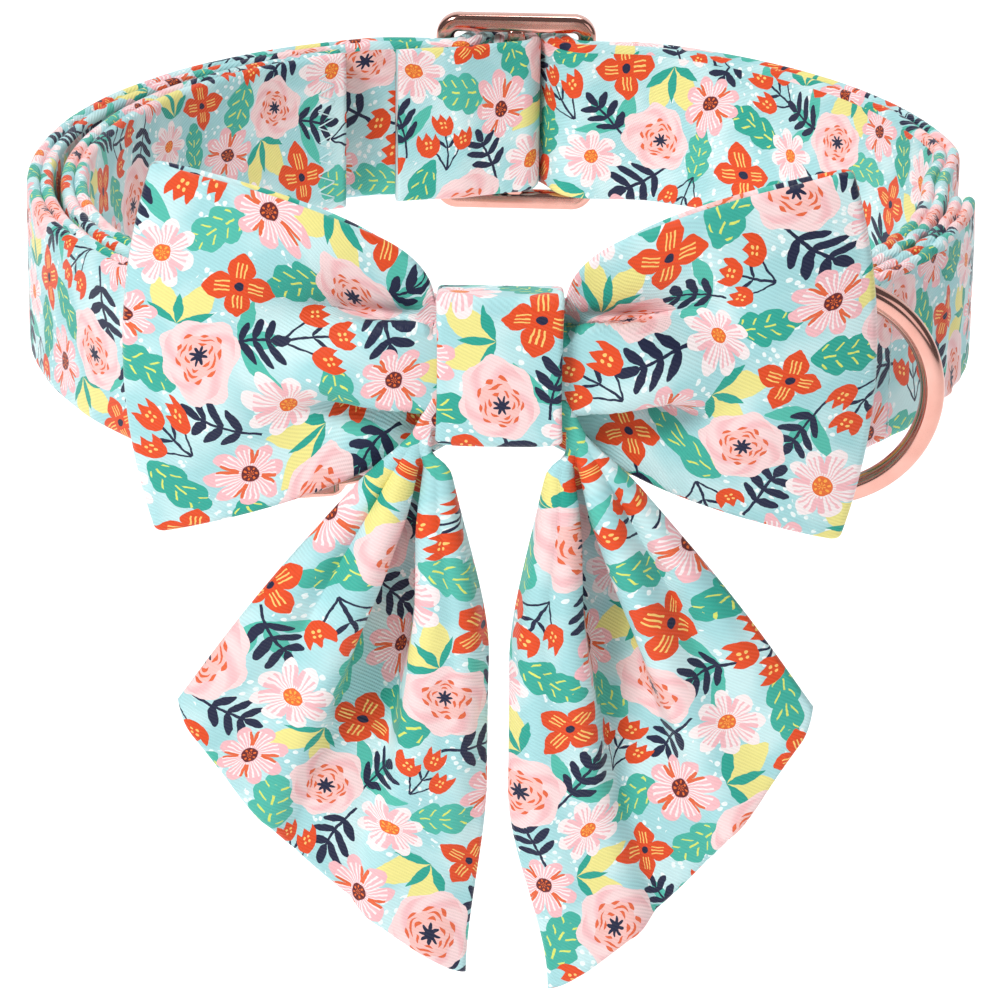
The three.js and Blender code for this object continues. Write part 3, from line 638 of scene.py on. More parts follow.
def own_noise(tree, scale, detail):
    """Noise in the piece's own space, as a number."""
    coordinates = tree.nodes.new("ShaderNodeTexCoord")
    node = tree.nodes.new("ShaderNodeTexNoise")
    node.inputs["Scale"].default_value = scale
    node.inputs["Detail"].default_value = detail
    tree.links.new(coordinates.outputs["Object"], node.inputs["Vector"])
    return Sum(tree, node.outputs[0])


metal, tree, shader = new_material("rose gold")
haze = own_noise(tree, HAZE_SCALE, 3)
dull = haze.math("MULTIPLY_ADD", 0.12, 0.07)
tint = paint(tree, srgb(228, 180, 168), srgb(212, 150, 136), haze)
tree.links.new(tint, shader.inputs["Base Color"])
tree.links.new(dull.output, shader.inputs["Roughness"])
shader.inputs["Metallic"].default_value = 1

elastic, tree, shader = new_material("white elastic")
x, y, _ = split(tree, cloth_place(tree))
cord_rib = wave(y, CORD_RIB)
# Painted shade: the white is darker between the ribs and lighter on them, following the wave of the
# ribs' bump.
shade = paint(tree, srgb(224, 230, 230), srgb(246, 249, 249), cord_rib * 0.5 + 0.5)
tree.links.new(shade, shader.inputs["Base Color"])
raise_by(tree, shader, cord_rib + wave(x, CORD_WEFT) * 0.5, CORD_DEPTH, 1)
shader.inputs["Roughness"].default_value = 0.75

thread_finish, tree, shader = new_material("sewing thread")
strand = paint(tree, srgb(176, 214, 218), srgb(222, 240, 242), own_noise(tree, TWIST_SCALE, 2))
tree.links.new(strand, shader.inputs["Base Color"])
shader.inputs["Roughness"].default_value = 0.35
print("materials", [m.name for m in (cloth, metal, elastic, thread_finish)])

# %% [markdown]
# Every piece is a grid of points: one direction along it, the other round it or across
# it. The helpers below turn such a grid into a mesh with its cloth coordinates. A UV
# map is kept per face corner, so a tube's seam can start and end at its own number.

# %% From a grid to a mesh
SMALL = 1e-6  # metres, within which two points are one


def put_mesh(name, points, faces, corners, finish, body):
    """A mesh object from points in mm, faces, and a cloth place in mm for each face
    corner. Points that meet are merged, and the faces are turned to point outwards
    where the signed volume, a sum of dot products, says that they point in."""
    mesh = bpy.data.meshes.new(name)
    a, b, c = (points[faces[:, k]] for k in range(3))
    volume = np.einsum("ij,ij->i", a, np.cross(b, c)).sum()
    if faces.shape[1] == 4:
        d = points[faces[:, 3]]
        volume += np.einsum("ij,ij->i", a, np.cross(c, d)).sum()
    if volume < 0:
        faces = faces[:, ::-1]
        corners = corners[:, ::-1]
    mesh.from_pydata((points * MM).tolist(), [], faces.tolist())
    layer = mesh.uv_layers.new(name="cloth")
    layer.data.foreach_set("uv", (corners * MM).astype(np.float32).ravel())
    shaped = bmesh.new()
    shaped.from_mesh(mesh)
    bmesh.ops.remove_doubles(shaped, verts=shaped.verts, dist=SMALL)
    shaped.to_mesh(mesh)
    shaped.free()
    mesh.shade_smooth()
    mesh.materials.append(finish)
    piece = new_object(name, mesh)
    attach(piece, body)
    print(name, len(mesh.polygons), "faces")
    return piece


def grid_faces(rows, columns, first=0):
    """The four corners of each square of a grid whose points are numbered row by row."""
    i, j = np.meshgrid(np.arange(rows - 1), np.arange(columns - 1), indexing="ij")
    start = (i * columns + j + first).ravel()
    return np.stack([start, start + columns, start + columns + 1, start + 1], axis=1)


def tube(name, rings, flat, finish, body, closed):
    """A body from rings of points, each a closed section. flat holds the cloth place of
    each point, with one more column for the section's seam. An open tube is closed at
    each end by one more ring, which has shrunk to its own middle."""
    if closed:
        rings = np.concatenate([rings, rings[:1]])
        step = flat[-1:] - flat[-2:-1]
        flat = np.concatenate([flat, flat[-1:] + step])
    else:
        middles = rings[[0, -1]].mean(axis=1, keepdims=True)
        first = np.broadcast_to(middles[0], rings[:1].shape)
        last = np.broadcast_to(middles[1], rings[:1].shape)
        rings = np.concatenate([first, rings, last])
        flat = np.concatenate([flat[:1], flat, flat[-1:]])
    rings = np.concatenate([rings, rings[:, :1]], axis=1)
    rows, columns = rings.shape[:2]
    faces = grid_faces(rows, columns)
    points = rings.reshape(-1, 3)
    corners = flat.reshape(-1, 2)[faces]
    return put_mesh(name, points, faces, corners, finish, body)


def lengths(points, axis):
    """How far each point is from the grid's start, measured along an axis of it."""
    steps = np.linalg.norm(np.diff(points, axis=axis), axis=-1)
    start = np.zeros_like(np.take(steps, [0], axis=axis))
    return np.concatenate([start, np.cumsum(steps, axis=axis)], axis=axis)


print("grids become meshes in millimetres")

# %% [markdown]
# A cut edge of the bow's cloth is turned in and sewn, so it is round and as thick as the
# cloth. Solidify would give a wall with square edges, so the two faces of a sheet are
# worked out here, and come together at each edge in a quarter circle.


# %% A sheet with rolled edges
def roundness(distance, roll):
    """A quarter circle: 0 at an edge, 1 from one roll in."""
    return np.sqrt(np.clip(1 - (1 - np.clip(distance / roll, 0, 1)) ** 2, 0, 1))


ROLL_STEPS = 6  # points in the rolled edge of a sheet


def edge_shares(count, length, roll):
    """Shares from 0 to 1, even in the middle and close together at both edges, where
    they stand at one minus the cosine of even angles."""
    edge = roll * (1 - np.cos(np.linspace(0, math.pi / 2, ROLL_STEPS))) / length
    middle = np.linspace(edge[-1], 1 - edge[-1], count)[1:-1]
    return np.concatenate([edge, middle, 1 - edge[::-1]])


def cloth_wall(name, middle, flat, thickness, closed, finish):
    """A sheet with a rolled edge. Each face of it lies half a thickness from the middle
    surface along its normal, less near an edge by a quarter circle, so the two faces
    meet there in a round fold. closed says that the first direction is a ring."""
    roll = thickness / 2
    if closed:
        along = np.roll(middle, -1, axis=0) - np.roll(middle, 1, axis=0)
    else:
        along = np.gradient(middle, axis=0)
    over = np.gradient(middle, axis=1)
    normal = np.cross(along, over)
    normal /= np.linalg.norm(normal, axis=-1, keepdims=True)
    crosswise = lengths(middle, 1)
    half = roundness(np.minimum(crosswise, crosswise[:, -1:] - crosswise), roll)
    if not closed:
        lengthwise = lengths(middle, 0)
        half = half * roundness(np.minimum(lengthwise, lengthwise[-1:] - lengthwise), roll)
    offset = normal * (half * thickness / 2)[..., None]
    front = middle + offset
    back = middle - offset
    if closed:
        front = np.concatenate([front, front[:1]])
        back = np.concatenate([back, back[:1]])
        flat = np.concatenate([flat, 2 * flat[-1:] - flat[-2:-1]])
    rows, columns = front.shape[:2]
    front_faces = grid_faces(rows, columns)
    back_faces = grid_faces(rows, columns, rows * columns)[:, ::-1]
    faces = np.concatenate([front_faces, back_faces])
    points = np.concatenate([front.reshape(-1, 3), back.reshape(-1, 3)])
    places = np.concatenate([flat.reshape(-1, 2), flat.reshape(-1, 2)])
    return put_mesh(name, points, faces, places[faces], finish, "collar")


def mix(a, b, share):
    """From a at a share of 0 to b at a share of 1."""
    return a + (b - a) * share


def smooth(value):
    """A soft step from 0 to 1: three times the square less twice the cube."""
    held = np.clip(value, 0, 1)
    return held * held * (3 - 2 * held)


print("sheets have rolled edges")

# %% [markdown]
# The strap goes round the neck on a circle, but at the front its top edge tips forward
# and it rises a little behind the bow. One function gives the place of any point of it:
# how far round, how far out, and how high on the strap.

# %% The loop
LOOP_RADIUS = 66.3  # middle of the outer layer
STRAP_WIDTH = 25
STRAP_THICKNESS = 3.8
PITCH = STRAP_THICKNESS + 0.4  # from one layer of strap to the next
GAP = 0.3  # between pieces that touch
FRONT_LEAN = math.radians(20)  # that the top edge tips forward behind the bow
FRONT_LIFT = 4.9
FRONT_REACH = math.radians(34)  # over which the lean and the lift end
FRONT_SQUEEZE = 0.4  # share of its width that the strap cups in behind the knot
SQUEEZE_REACH = math.radians(14)


def fade_out(angle, reach):
    """1 at the front, falling as a squared cosine to 0 at the reach."""
    return np.cos(np.clip(np.abs(angle) / reach, 0, 1) * math.pi / 2) ** 2


def on_loop(s, out, across):
    """A place on the collar: the radius is the loop's plus out times the cosine of the
    lean plus across times its sine, and the height swaps the two."""
    angle = s / LOOP_RADIUS
    bent = np.arctan2(np.sin(angle), np.cos(angle))
    lean = FRONT_LEAN * fade_out(bent, FRONT_REACH)
    lift = FRONT_LIFT * fade_out(bent, FRONT_REACH)
    width = across * (1 - FRONT_SQUEEZE * fade_out(bent, SQUEEZE_REACH))
    radial = LOOP_RADIUS + out * np.cos(lean) + width * np.sin(lean)
    height = lift - out * np.sin(lean) + width * np.cos(lean)
    return np.stack([radial * np.sin(angle), -radial * np.cos(angle), height], axis=-1)


def arc(angle):
    """The way along the loop to an angle in degrees, in mm."""
    return math.radians(angle) * LOOP_RADIUS


print("loop", round(2 * math.pi * LOOP_RADIUS), "mm round")

# %% [markdown]
# One ribbon makes the whole strap. It could be a curve with a bevel, but it has to turn
# tightly round the bars and stay flat between them, so its route is worked out from
# those bars: straight runs that touch circles round them.

# %% The strap's route
RING_WIRE_WIDTH = 3.3
RING_WIRE_DEPTH = 3
RING_BEVEL = 0.6
RING_ANGLE = 35.5  # degrees round the loop from the front
RING_BAR_RADIUS = math.hypot(RING_WIRE_WIDTH / 2, RING_WIRE_DEPTH / 2 - RING_BEVEL)
BUCKLE_AWAY = 27.8  # along the loop from the front to its middle
BUCKLE_BAR = 3
BUCKLE_BAR_SPAN = 23
SLIDER_BAR = 2.8
SLIDER_BEVEL = 0.5
SLIDER_BAR_RADIUS = math.hypot(SLIDER_BAR / 2, SLIDER_BAR / 2 - SLIDER_BEVEL)
SLIDER_ANGLE = 178.3
SLIDER_PLANE = LOOP_RADIUS + 0.6
SLIDER_LENGTH = 24.8
SLIDER_END = (SLIDER_LENGTH - SLIDER_BAR) / 2
TAB_THICKNESS = 1.8
SETTLE = 11  # that the strap needs beside a bar to lie flat again
SHIFT_BEND = 25  # radius of the two bends that move the inner layer out
SHIFT_STRAIGHT = 1  # between those bends
OUTER_END = 82  # degrees, where the right outer layer is sewn down
SHIFT_FROM = 86  # degrees, where the inner layer moves out to take its place
INNER_END = -156.4  # degrees, where the left inner layer is sewn down
SLACK_AT = -108  # degrees, where the left inner layer stands off most
SLACK = 1
AROUND = 2 * math.pi * LOOP_RADIUS


def slider_bar(along):
    """A bar of the flat slider, seen on the round loop: further out towards its ends."""
    s = arc(SLIDER_ANGLE) + math.atan2(along, SLIDER_PLANE) * LOOP_RADIUS
    return s, math.hypot(along, SLIDER_PLANE) - LOOP_RADIUS


def wrap(bar_radius):
    """The radius at which the strap's middle goes round a bar."""
    return bar_radius + GAP + STRAP_THICKNESS / 2


ring_bar = (arc(RING_ANGLE), -PITCH + STRAP_THICKNESS / 2 + GAP + RING_BAR_RADIUS)
buckle_bars = [-BUCKLE_AWAY + side * BUCKLE_BAR_SPAN / 2 for side in (1, -1)]
shift_run = math.sqrt((2 * SHIFT_BEND) ** 2 - (2 * SHIFT_BEND - PITCH) ** 2) + SHIFT_STRAIGHT
tab_radius = SLIDER_BAR_RADIUS + GAP + TAB_THICKNESS / 2
over_tab = wrap(tab_radius + TAB_THICKNESS / 2)


print("ring's bar", [round(value, 1) for value in ring_bar], "buckle's bars", buckle_bars)

# %% [markdown]
# The ribbon is led past a list of rounds, like a belt over pulleys. A round is where the
# strap turns, with its radius and the way that it turns.

# %% The ribbon's way
ROUND_STEPS = 40  # points on a circle


def route(rounds, step, soft):
    """A ribbon's way past rounds (s, out, radius, turn). Between two of them it runs
    straight, at the angle of their line plus the arc sine of the shift between their
    touching sides; on each it follows the circle. The points are then spaced evenly, a
    step apart, and averaged with a bell curve as wide as soft, which takes kinks out."""
    headings = []
    for (s0, o0, r0, t0), (s1, o1, r1, t1) in zip(rounds, rounds[1:]):
        reach = math.hypot(s1 - s0, o1 - o0)
        headings.append(math.atan2(o1 - o0, s1 - s0) + math.asin((t0 * r0 - t1 * r1) / reach))
    runs = []
    for k, (s, out, radius, turn_way) in enumerate(rounds):
        arrive = headings[max(0, k - 1)]
        leave = headings[min(k, len(headings) - 1)]
        bent = math.atan2(math.sin(leave - arrive), math.cos(leave - arrive))
        if radius and bent * turn_way < 0:
            bent += turn_way * 2 * math.pi
        heading = arrive + np.linspace(0, bent, ROUND_STEPS if radius else 1)
        held = turn_way * radius
        runs.append(np.stack([s + held * np.sin(heading), out - held * np.cos(heading)], axis=1))
    line = np.concatenate(runs)
    along = lengths(line, 0)
    even = np.linspace(0, along[-1], int(along[-1] / step))
    line = np.stack([np.interp(even, along, line[:, k]) for k in (0, 1)], axis=1)
    reach = int(3 * soft / step)
    bell = np.exp(-0.5 * (np.arange(-reach, reach + 1) * step / soft) ** 2)
    start = 2 * line[:1] - line[1:reach + 1][::-1]
    end = 2 * line[-1:] - line[-reach - 1:-1][::-1]
    longer = np.concatenate([start, line, end])
    bell /= bell.sum()
    return np.stack([np.convolve(longer[:, k], bell, "valid") for k in (0, 1)], axis=1)


def plain(s, out):
    """A point of the route with no circle round it."""
    return (s, out, 0, 0)


strap_line = route([
    plain(arc(OUTER_END), 0),
    plain(ring_bar[0] + SETTLE, 0),
    (*ring_bar, wrap(RING_BAR_RADIUS), 1),
    plain(ring_bar[0] - SETTLE, 0),
    plain(0, 0),
    plain(buckle_bars[0] + SETTLE, 0),
    (buckle_bars[0], -PITCH / 2, wrap(BUCKLE_BAR / 2), 1),
    plain(buckle_bars[0] + SETTLE, -PITCH),
    plain(0, -PITCH),
    (arc(SHIFT_FROM), -PITCH + SHIFT_BEND, SHIFT_BEND, 1),
    (arc(SHIFT_FROM) + shift_run, -SHIFT_BEND, SHIFT_BEND, -1),
    plain(slider_bar(-SLIDER_END)[0] - SETTLE, 0),
    (*slider_bar(-SLIDER_END), wrap(SLIDER_BAR_RADIUS), 1),
    (*slider_bar(0), over_tab, -1),
    (*slider_bar(SLIDER_END), wrap(SLIDER_BAR_RADIUS), 1),
    plain(slider_bar(SLIDER_END)[0] + SETTLE, 0),
    plain(AROUND + buckle_bars[1] - SETTLE, 0),
    (AROUND + buckle_bars[1], -PITCH / 2, wrap(BUCKLE_BAR / 2), -1),
    plain(AROUND + buckle_bars[1] - SETTLE, -PITCH),
    plain(AROUND + arc(SLACK_AT), -PITCH - SLACK),
    plain(AROUND + arc(INNER_END), -PITCH),
], 0.8, 1.0)
print("strap", round(lengths(strap_line, 0)[-1]), "mm long")

# %% [markdown]
# Seen from its edge the strap is two folded plies, each with a round edge and a groove
# between them. The section is drawn as that outline, half circle by half circle, and
# carried along the route.


# %% The strap
def ply_section(width, thickness, plies, swell):
    """The outline of stacked folded plies, as (across, out): a half circle at each end
    of each ply, drawn a little long, and flat faces that swell in the middle."""
    radius = thickness / plies / 2
    long = radius * 1.15
    side = width / 2 - long
    turns = np.linspace(-math.pi / 2, math.pi / 2, 7)
    levels = (np.arange(plies) - (plies - 1) / 2) * 2 * radius
    edge = np.concatenate([
        np.stack([side + long * np.cos(turns), level + radius * np.sin(turns)], axis=1)
        for level in levels
    ])
    face = np.linspace(side, -side, 15)[1:-1]
    top = np.stack([face, thickness / 2 + swell * (1 - (2 * face / width) ** 2)], axis=1)
    return np.concatenate([edge, top, -edge, -top])


def paired(first, second):
    """Two numbers for each point of a grid, from arrays that spread to its size."""
    return np.stack(np.broadcast_arrays(first, second), axis=-1)


def ribbon(name, line, section, shift, wrinkle=None):
    """The section carried along the route: its across goes up the strap, its out goes
    along the route's own normal, plus a wrinkle's depth. The cloth lies flat along the
    route and round the section, shifted on the print."""
    heading = np.arctan2(np.gradient(line[:, 1]), np.gradient(line[:, 0]))[:, None]
    across = np.broadcast_to(section[:, 0], (len(line), len(section)))
    offset = np.broadcast_to(section[:, 1], across.shape)
    if wrinkle is not None:
        offset = offset + wrinkle(line[:, 0][:, None], across, offset)
    s = line[:, 0][:, None] - offset * np.sin(heading)
    out = line[:, 1][:, None] + offset * np.cos(heading)
    rings = on_loop(s, out, across)
    round_it = lengths(np.concatenate([section, section[:1]]), 0)
    along = lengths(line, 0)
    flat = paired(along[:, None] + shift[0], round_it[None, :] + shift[1])
    return tube(name, rings, flat, cloth, "collar", False)


BUNCHED_AT = 64  # degrees round the loop
BUNCHED_OVER = 11
DENT = 0.07
BUNCH = 0.3


def strap_wrinkle(s, across, offset):
    """Small dents in the cloth over the webbing, a tenth of a millimetre or two deep:
    waves along the strap that wander with the height, and a bell of stronger ones where
    the cloth is pushed together beside the ring."""
    wander = np.sin(across * 0.31 + s * 0.05) * 2
    small = DENT * np.sin(s * 0.42 + wander) * np.sin(across * 0.24 + s * 0.021)
    bunched = np.exp(-((s - arc(BUNCHED_AT)) / BUNCHED_OVER) ** 2)
    return small + BUNCH * bunched * np.sin(across * 0.5 + s * 1.1 + wander) * np.sign(offset)


strap_section = ply_section(STRAP_WIDTH, STRAP_THICKNESS, 2, 0.05)
strap = ribbon("printed_strap", strap_line, strap_section, (0, 0), strap_wrinkle)
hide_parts("strap")

# %% [markdown]
# The tab is a short strip of the same cotton, sewn round the slider's middle bar. It
# lies flat inside the strap, and turns round the bar once.

# %% The slider's tab
TAB_WIDTH = 24.6
TAB_LENGTH = 20  # of the panel, from the slider's middle bar
TAB_FLAT_FROM = 9  # where it lies flat
TAB_PANEL_DEPTH = 5.4  # inside the middle of the outer layer
TAB_END_HEADING = math.radians(235)  # that it turns round the bar
TAB_PRINT = (113, 31)  # where it lay on the printed cloth

bar_s, bar_out = slider_bar(0)
tab_straight = route([
    plain(bar_s + TAB_LENGTH, -TAB_PANEL_DEPTH),
    plain(bar_s + TAB_FLAT_FROM, -TAB_PANEL_DEPTH),
    (bar_s, bar_out, tab_radius, -1),
], 0.6, 0.6)
last_heading = math.atan2(*(tab_straight[-1] - tab_straight[-3])[::-1])
tab_turn = last_heading - np.linspace(0, TAB_END_HEADING, 60)[1:]
tab_round = paired(bar_s - tab_radius * np.sin(tab_turn), bar_out + tab_radius * np.cos(tab_turn))
tab_line = np.concatenate([tab_straight, tab_round])
tab = ribbon("printed_tab", tab_line, ply_section(TAB_WIDTH, TAB_THICKNESS, 1, 0), TAB_PRINT)
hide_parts("slider_tab")

# %% [markdown]
# Cast hardware is smooth with soft edges. A frame or ring is one section carried round a
# closed path, and bars are the same section on a straight path, closed at both ends by
# shrinking it. Booleans of boxes would need their edges bevelled afterwards.


# %% Metal sections
def corner_angles(quarter, turns):
    """The angles of one quarter of a circle."""
    return np.linspace(0, math.pi / 2, turns) + quarter * math.pi / 2


def soft_outline(width, depth, corner, turns):
    """A rectangle with round corners, as (x, y) points, and the way each one faces."""
    points = []
    facing = []
    for quarter, (side_x, side_y) in enumerate([(1, 1), (-1, 1), (-1, -1), (1, -1)]):
        angle = corner_angles(quarter, turns)
        points.append(np.stack([
            side_x * (width / 2 - corner) + corner * np.cos(angle),
            side_y * (depth / 2 - corner) + corner * np.sin(angle),
        ], axis=1))
        facing.append(angle)
    return np.concatenate(points), np.concatenate(facing)


def metal_tube(name, rings, body, closed):
    """A tube in the metal's finish, which needs no cloth places."""
    flat = np.zeros((rings.shape[0], rings.shape[1] + 1, 2))
    return tube(name, rings, flat, metal, body, closed)


def flat_ring(name, path, facing, section, place, body):
    """A closed ring: the section's x goes along the facing angle in the ring's plane,
    its y across that plane. place puts (x, deep, z) where the piece sits."""
    over = section[None, :, 0]
    x = path[:, :1] + over * np.cos(facing)[:, None]
    z = path[:, 1:] + over * np.sin(facing)[:, None]
    deep = np.broadcast_to(section[None, :, 1], x.shape)
    return metal_tube(name, place(x, deep, z), body, True)


def soft_bar(length, section, steps):
    """A bar on the z axis as rings of (x, deep, z): the section, smaller near both ends
    by a quarter circle, with some even steps between them."""
    size = np.abs(section).max(axis=0)
    roll = size.min() * 0.5
    turns = np.linspace(0, math.pi / 2, 5)
    z_end = -length / 2 + roll * (1 - np.cos(turns))
    inset = roll * (1 - np.sin(turns))
    z_middle = np.linspace(z_end[-1], -z_end[-1], steps + 2)[1:-1]
    z = np.concatenate([z_end, z_middle, -z_end[::-1]])
    shrink = np.concatenate([inset, np.zeros(steps), inset[::-1]])
    scale = 1 - shrink[:, None, None] / size[None, None, :]
    rings = section[None, :, :] * scale
    return rings[..., 0], rings[..., 1], np.broadcast_to(z[:, None], rings.shape[:2])


print("metal is a section on a path")

# %% [markdown]
# The D-ring is a half circle and a straight bar in one wire with a flat front, wider
# than it is deep. It hangs by its bar between the strap's two plies, and the collar's
# only joint is there, so it rides on its own body.

# %% The D-ring
RING_ROOM = 26.6  # clear height inside it
RING_REACH = 22  # from the middle of its bar to its far edge
RING_CORNER = 3
RING_DROP = 0.5  # that it hangs below the strap's middle
ring_half = (RING_ROOM + RING_WIRE_WIDTH) / 2
ring_centre = RING_REACH - RING_WIRE_WIDTH / 2 - ring_half
bow_turn = np.radians(np.linspace(-90, 90, 90))
parts = [(ring_centre + ring_half * np.cos(bow_turn), ring_half * np.sin(bow_turn), bow_turn)]
for quarter, side in ((1, 1), (2, -1)):
    angle = corner_angles(quarter, 12)
    parts.append((RING_CORNER + RING_CORNER * np.cos(angle),
                  side * (ring_half - RING_CORNER) + RING_CORNER * np.sin(angle), angle))
ring_x, ring_z, ring_facing = (np.concatenate(part) for part in zip(*parts))
ring_path = np.stack([ring_x, ring_z], axis=1)
ring_section, _ = soft_outline(RING_WIRE_WIDTH, RING_WIRE_DEPTH, 1.3, 9)
ring_middle = on_loop(np.array(ring_bar[0]), np.array(ring_bar[1]), np.array(-RING_DROP))


def ring_place(x, deep, z):
    """The ring's plane faces the front, at its bar's place in the strap."""
    return np.stack([x, -deep, z], axis=-1) + ring_middle


d_ring = flat_ring("d_ring_wire", ring_path, ring_facing, ring_section, ring_place, "ring")
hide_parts("d_ring")

# %% [markdown]
# The slide is a flat frame with a middle bar that the tab goes round. The frame's long
# sides are thicker than its bars, but here one even section is carried round the
# frame's path, and the middle is one straight bar.

# %% The slide
SLIDER_HEIGHT = 31.5
SLIDER_ROOM = 26  # clear height of its openings
SLIDER_CORNER = 2.1
SLIDE_BAR = 2.75  # side of the middle bar
SLIDE_BAR_LENGTH = 27.2  # with its ends inside the frame
slider_turn = math.radians(SLIDER_ANGLE)
slider_rail = (SLIDER_HEIGHT - SLIDER_ROOM) / 2
slide_path, slide_facing = soft_outline(
    SLIDER_LENGTH - SLIDER_BAR, SLIDER_HEIGHT - slider_rail, SLIDER_CORNER, 14)
slide_section, _ = soft_outline(SLIDER_BAR, SLIDER_BAR, 0.85, 7)
bar_section, _ = soft_outline(SLIDE_BAR, SLIDE_BAR, 0.7, 5)


def slider_place(x, deep, z):
    """From the slide's own flat frame to its place at the back of the loop."""
    out = np.array([math.sin(slider_turn), -math.cos(slider_turn), 0])
    along = np.array([math.cos(slider_turn), math.sin(slider_turn), 0])
    up = np.array([0, 0, 1])
    return (SLIDER_PLANE + deep)[..., None] * out + x[..., None] * along + z[..., None] * up


slide = flat_ring("slide_frame", slide_path, slide_facing, slide_section, slider_place, "collar")
metal_tube("slide_bar", slider_place(*soft_bar(SLIDE_BAR_LENGTH, bar_section, 2)), "collar", False)
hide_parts("slider")

# %% [markdown]
# The buckle is closed behind the bow and only its lower edge shows, so it is a plain
# block with two bars and two rails. Each is made straight and then laid onto the loop
# by the loop's own function, which bends it as the strap is bent.

# %% The buckle
BUCKLE_HEIGHT = 33
BUCKLE_BLOCK = (10.6, 4, 1)  # length along the loop, thickness and corner
BUCKLE_ROD = (BUCKLE_BAR, BUCKLE_BAR, 1.4)
BUCKLE_RAIL = (2.2, 3.4, 0.8)  # height, thickness and corner
BUCKLE_RAIL_ROOM = 0.5  # between the strap's edge and a rail
rail_middle = STRAP_WIDTH / 2 + BUCKLE_RAIL_ROOM + BUCKLE_RAIL[0] / 2


def buckle_part(name, length, outline, lengthwise, s_middle, across_middle):
    """A soft bar laid on the loop, along it or up it, about a middle. The outline gives
    its section's width, depth and corner."""
    section, _ = soft_outline(*outline, 5)
    wide, deep, run = soft_bar(length, section, 8)
    s, across = (run, wide) if lengthwise else (wide, run)
    rings = on_loop(-BUCKLE_AWAY + s_middle + s, -PITCH / 2 + deep, across_middle + across)
    return metal_tube(name, rings, "collar", False)


block = buckle_part("buckle_block", BUCKLE_HEIGHT, BUCKLE_BLOCK, False, 0, 0)
rail_length = BUCKLE_BAR_SPAN + BUCKLE_BAR
for label, side in (("near", 1), ("far", -1)):
    bar_at = side * BUCKLE_BAR_SPAN / 2
    buckle_part(f"buckle_bar_{label}", 2 * rail_middle, BUCKLE_ROD, False, bar_at, 0)
    buckle_part(f"buckle_rail_{label}", rail_length, BUCKLE_RAIL, True, 0, side * rail_middle)
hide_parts("buckle")

# %% [markdown]
# The elastic that ties the bow on is a plain flat band round the strap. It is a sheet
# like the bow's cloth, closed into a ring.

# %% The elastic band
ELASTIC_WIDTH = 7
ELASTIC_THICKNESS = 1
ELASTIC_ROOM = 0.6  # between the elastic and the strap
ELASTIC_CORNER = 0.9
BAND_STEPS = 90
band_room = ELASTIC_ROOM + ELASTIC_THICKNESS / 2
band_outer = STRAP_THICKNESS / 2 + band_room
band_inner = -PITCH - STRAP_THICKNESS / 2 - band_room


def even_loop(outline, steps):
    """A closed outline's points, spaced evenly, and how far along it each one is."""
    outline = np.concatenate([outline, outline[:1]])
    along = lengths(outline, 0)
    even = np.linspace(0, along[-1], steps)[:-1]
    return np.interp(even, along, outline[:, 0]), np.interp(even, along, outline[:, 1]), even


band_loop, _ = soft_outline(STRAP_WIDTH + 2 * band_room, band_outer - band_inner, ELASTIC_CORNER, 6)
band_a, band_o, band_even = even_loop(band_loop, BAND_STEPS)
band_o = band_o[:, None] + (band_outer + band_inner) / 2
band_s = (edge_shares(9, ELASTIC_WIDTH, 0.4) - 0.5)[None, :] * ELASTIC_WIDTH
band_middle = on_loop(*np.broadcast_arrays(band_s, band_o, band_a[:, None]))
band_flat = paired(band_even[:, None], band_s)
band = cloth_wall("elastic_band", band_middle, band_flat, ELASTIC_THICKNESS, True, elastic)
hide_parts("elastic_loop")

# %% [markdown]
# The bow is one closed ring of cloth: two wings, each with a front and a back layer that
# meet in an outer fold, all gathered at the knot. A cloth simulation would need the real
# pattern pieces and hours of trying to land in the same folds, so the folds are written
# down: a flat pleat along the middle, a valley above and below it, and full lobes.

# %% The bow's wings
CLOTH = 1.6
BOW_ABOVE = 12  # of the bow's middle above the strap's middle
WING_REACH = 48.2  # from the bow's middle to the outer fold
WING_CORNER_IN = 4  # that the fold's corners lie further in
WING_HALF = 25.6  # half its height at the fold
WING_PUFF = 8  # between the layers in the middle of a wing
WING_EDGE_PUFF = 3.2  # between the layers at its edges
WING_CLOSED = 0.94  # how near they come at the fold, where 1 is touching
WING_SWEEP = 2.5  # that a wing's end curves back
FOLD_BULGE = 0.6
PLEAT_HALF = 4.5  # half height of the raised middle pleat
PLEAT_MIDDLE = 0.5  # that it lies above the bow's middle, away from the knot
PLEAT_RISE = 3.9
PLEAT_SLOPE = 0.6
PLEAT_OVERHANG = 1.1
VALLEY = 0.68  # depth beside the pleat, as a share of the room between the layers
VALLEY_AWAY = 1.7  # from the pleat's edge
SLACK_WAVE = 0.35
LOBE_LEAN = 1.1
LOBE_AWAY = 4.4  # from the pleat's edge
KNOT_WIDTH = 16.6
KNOT_HEIGHT = 21.6  # of its front
KNOT_BACK_HEIGHT = 18.8
KNOT_RAISED = 0.6  # that the middle of its front is above the bow's middle
KNOT_CLOTH = 1.5
KNOT_BACK = LOOP_RADIUS + 8.5  # from the loop's middle
KNOT_ROOM = 8.4  # clear depth inside the knot
FRONT_ROOM = 2  # more height inside its front than inside its back
knot_inside = KNOT_BACK_HEIGHT / 2 - KNOT_CLOTH - GAP - CLOTH / 2
wing_start = KNOT_WIDTH / 2 + GAP
bow_middle = KNOT_BACK + KNOT_ROOM / 4
print("bow", round(2 * WING_REACH, 1), "mm from fold to fold")

# %% [markdown]
# A layer of a wing is a function of two shares: how far out, and how far up. It is an
# even puff, to which the front layer adds its pleat, its valleys and its slack.


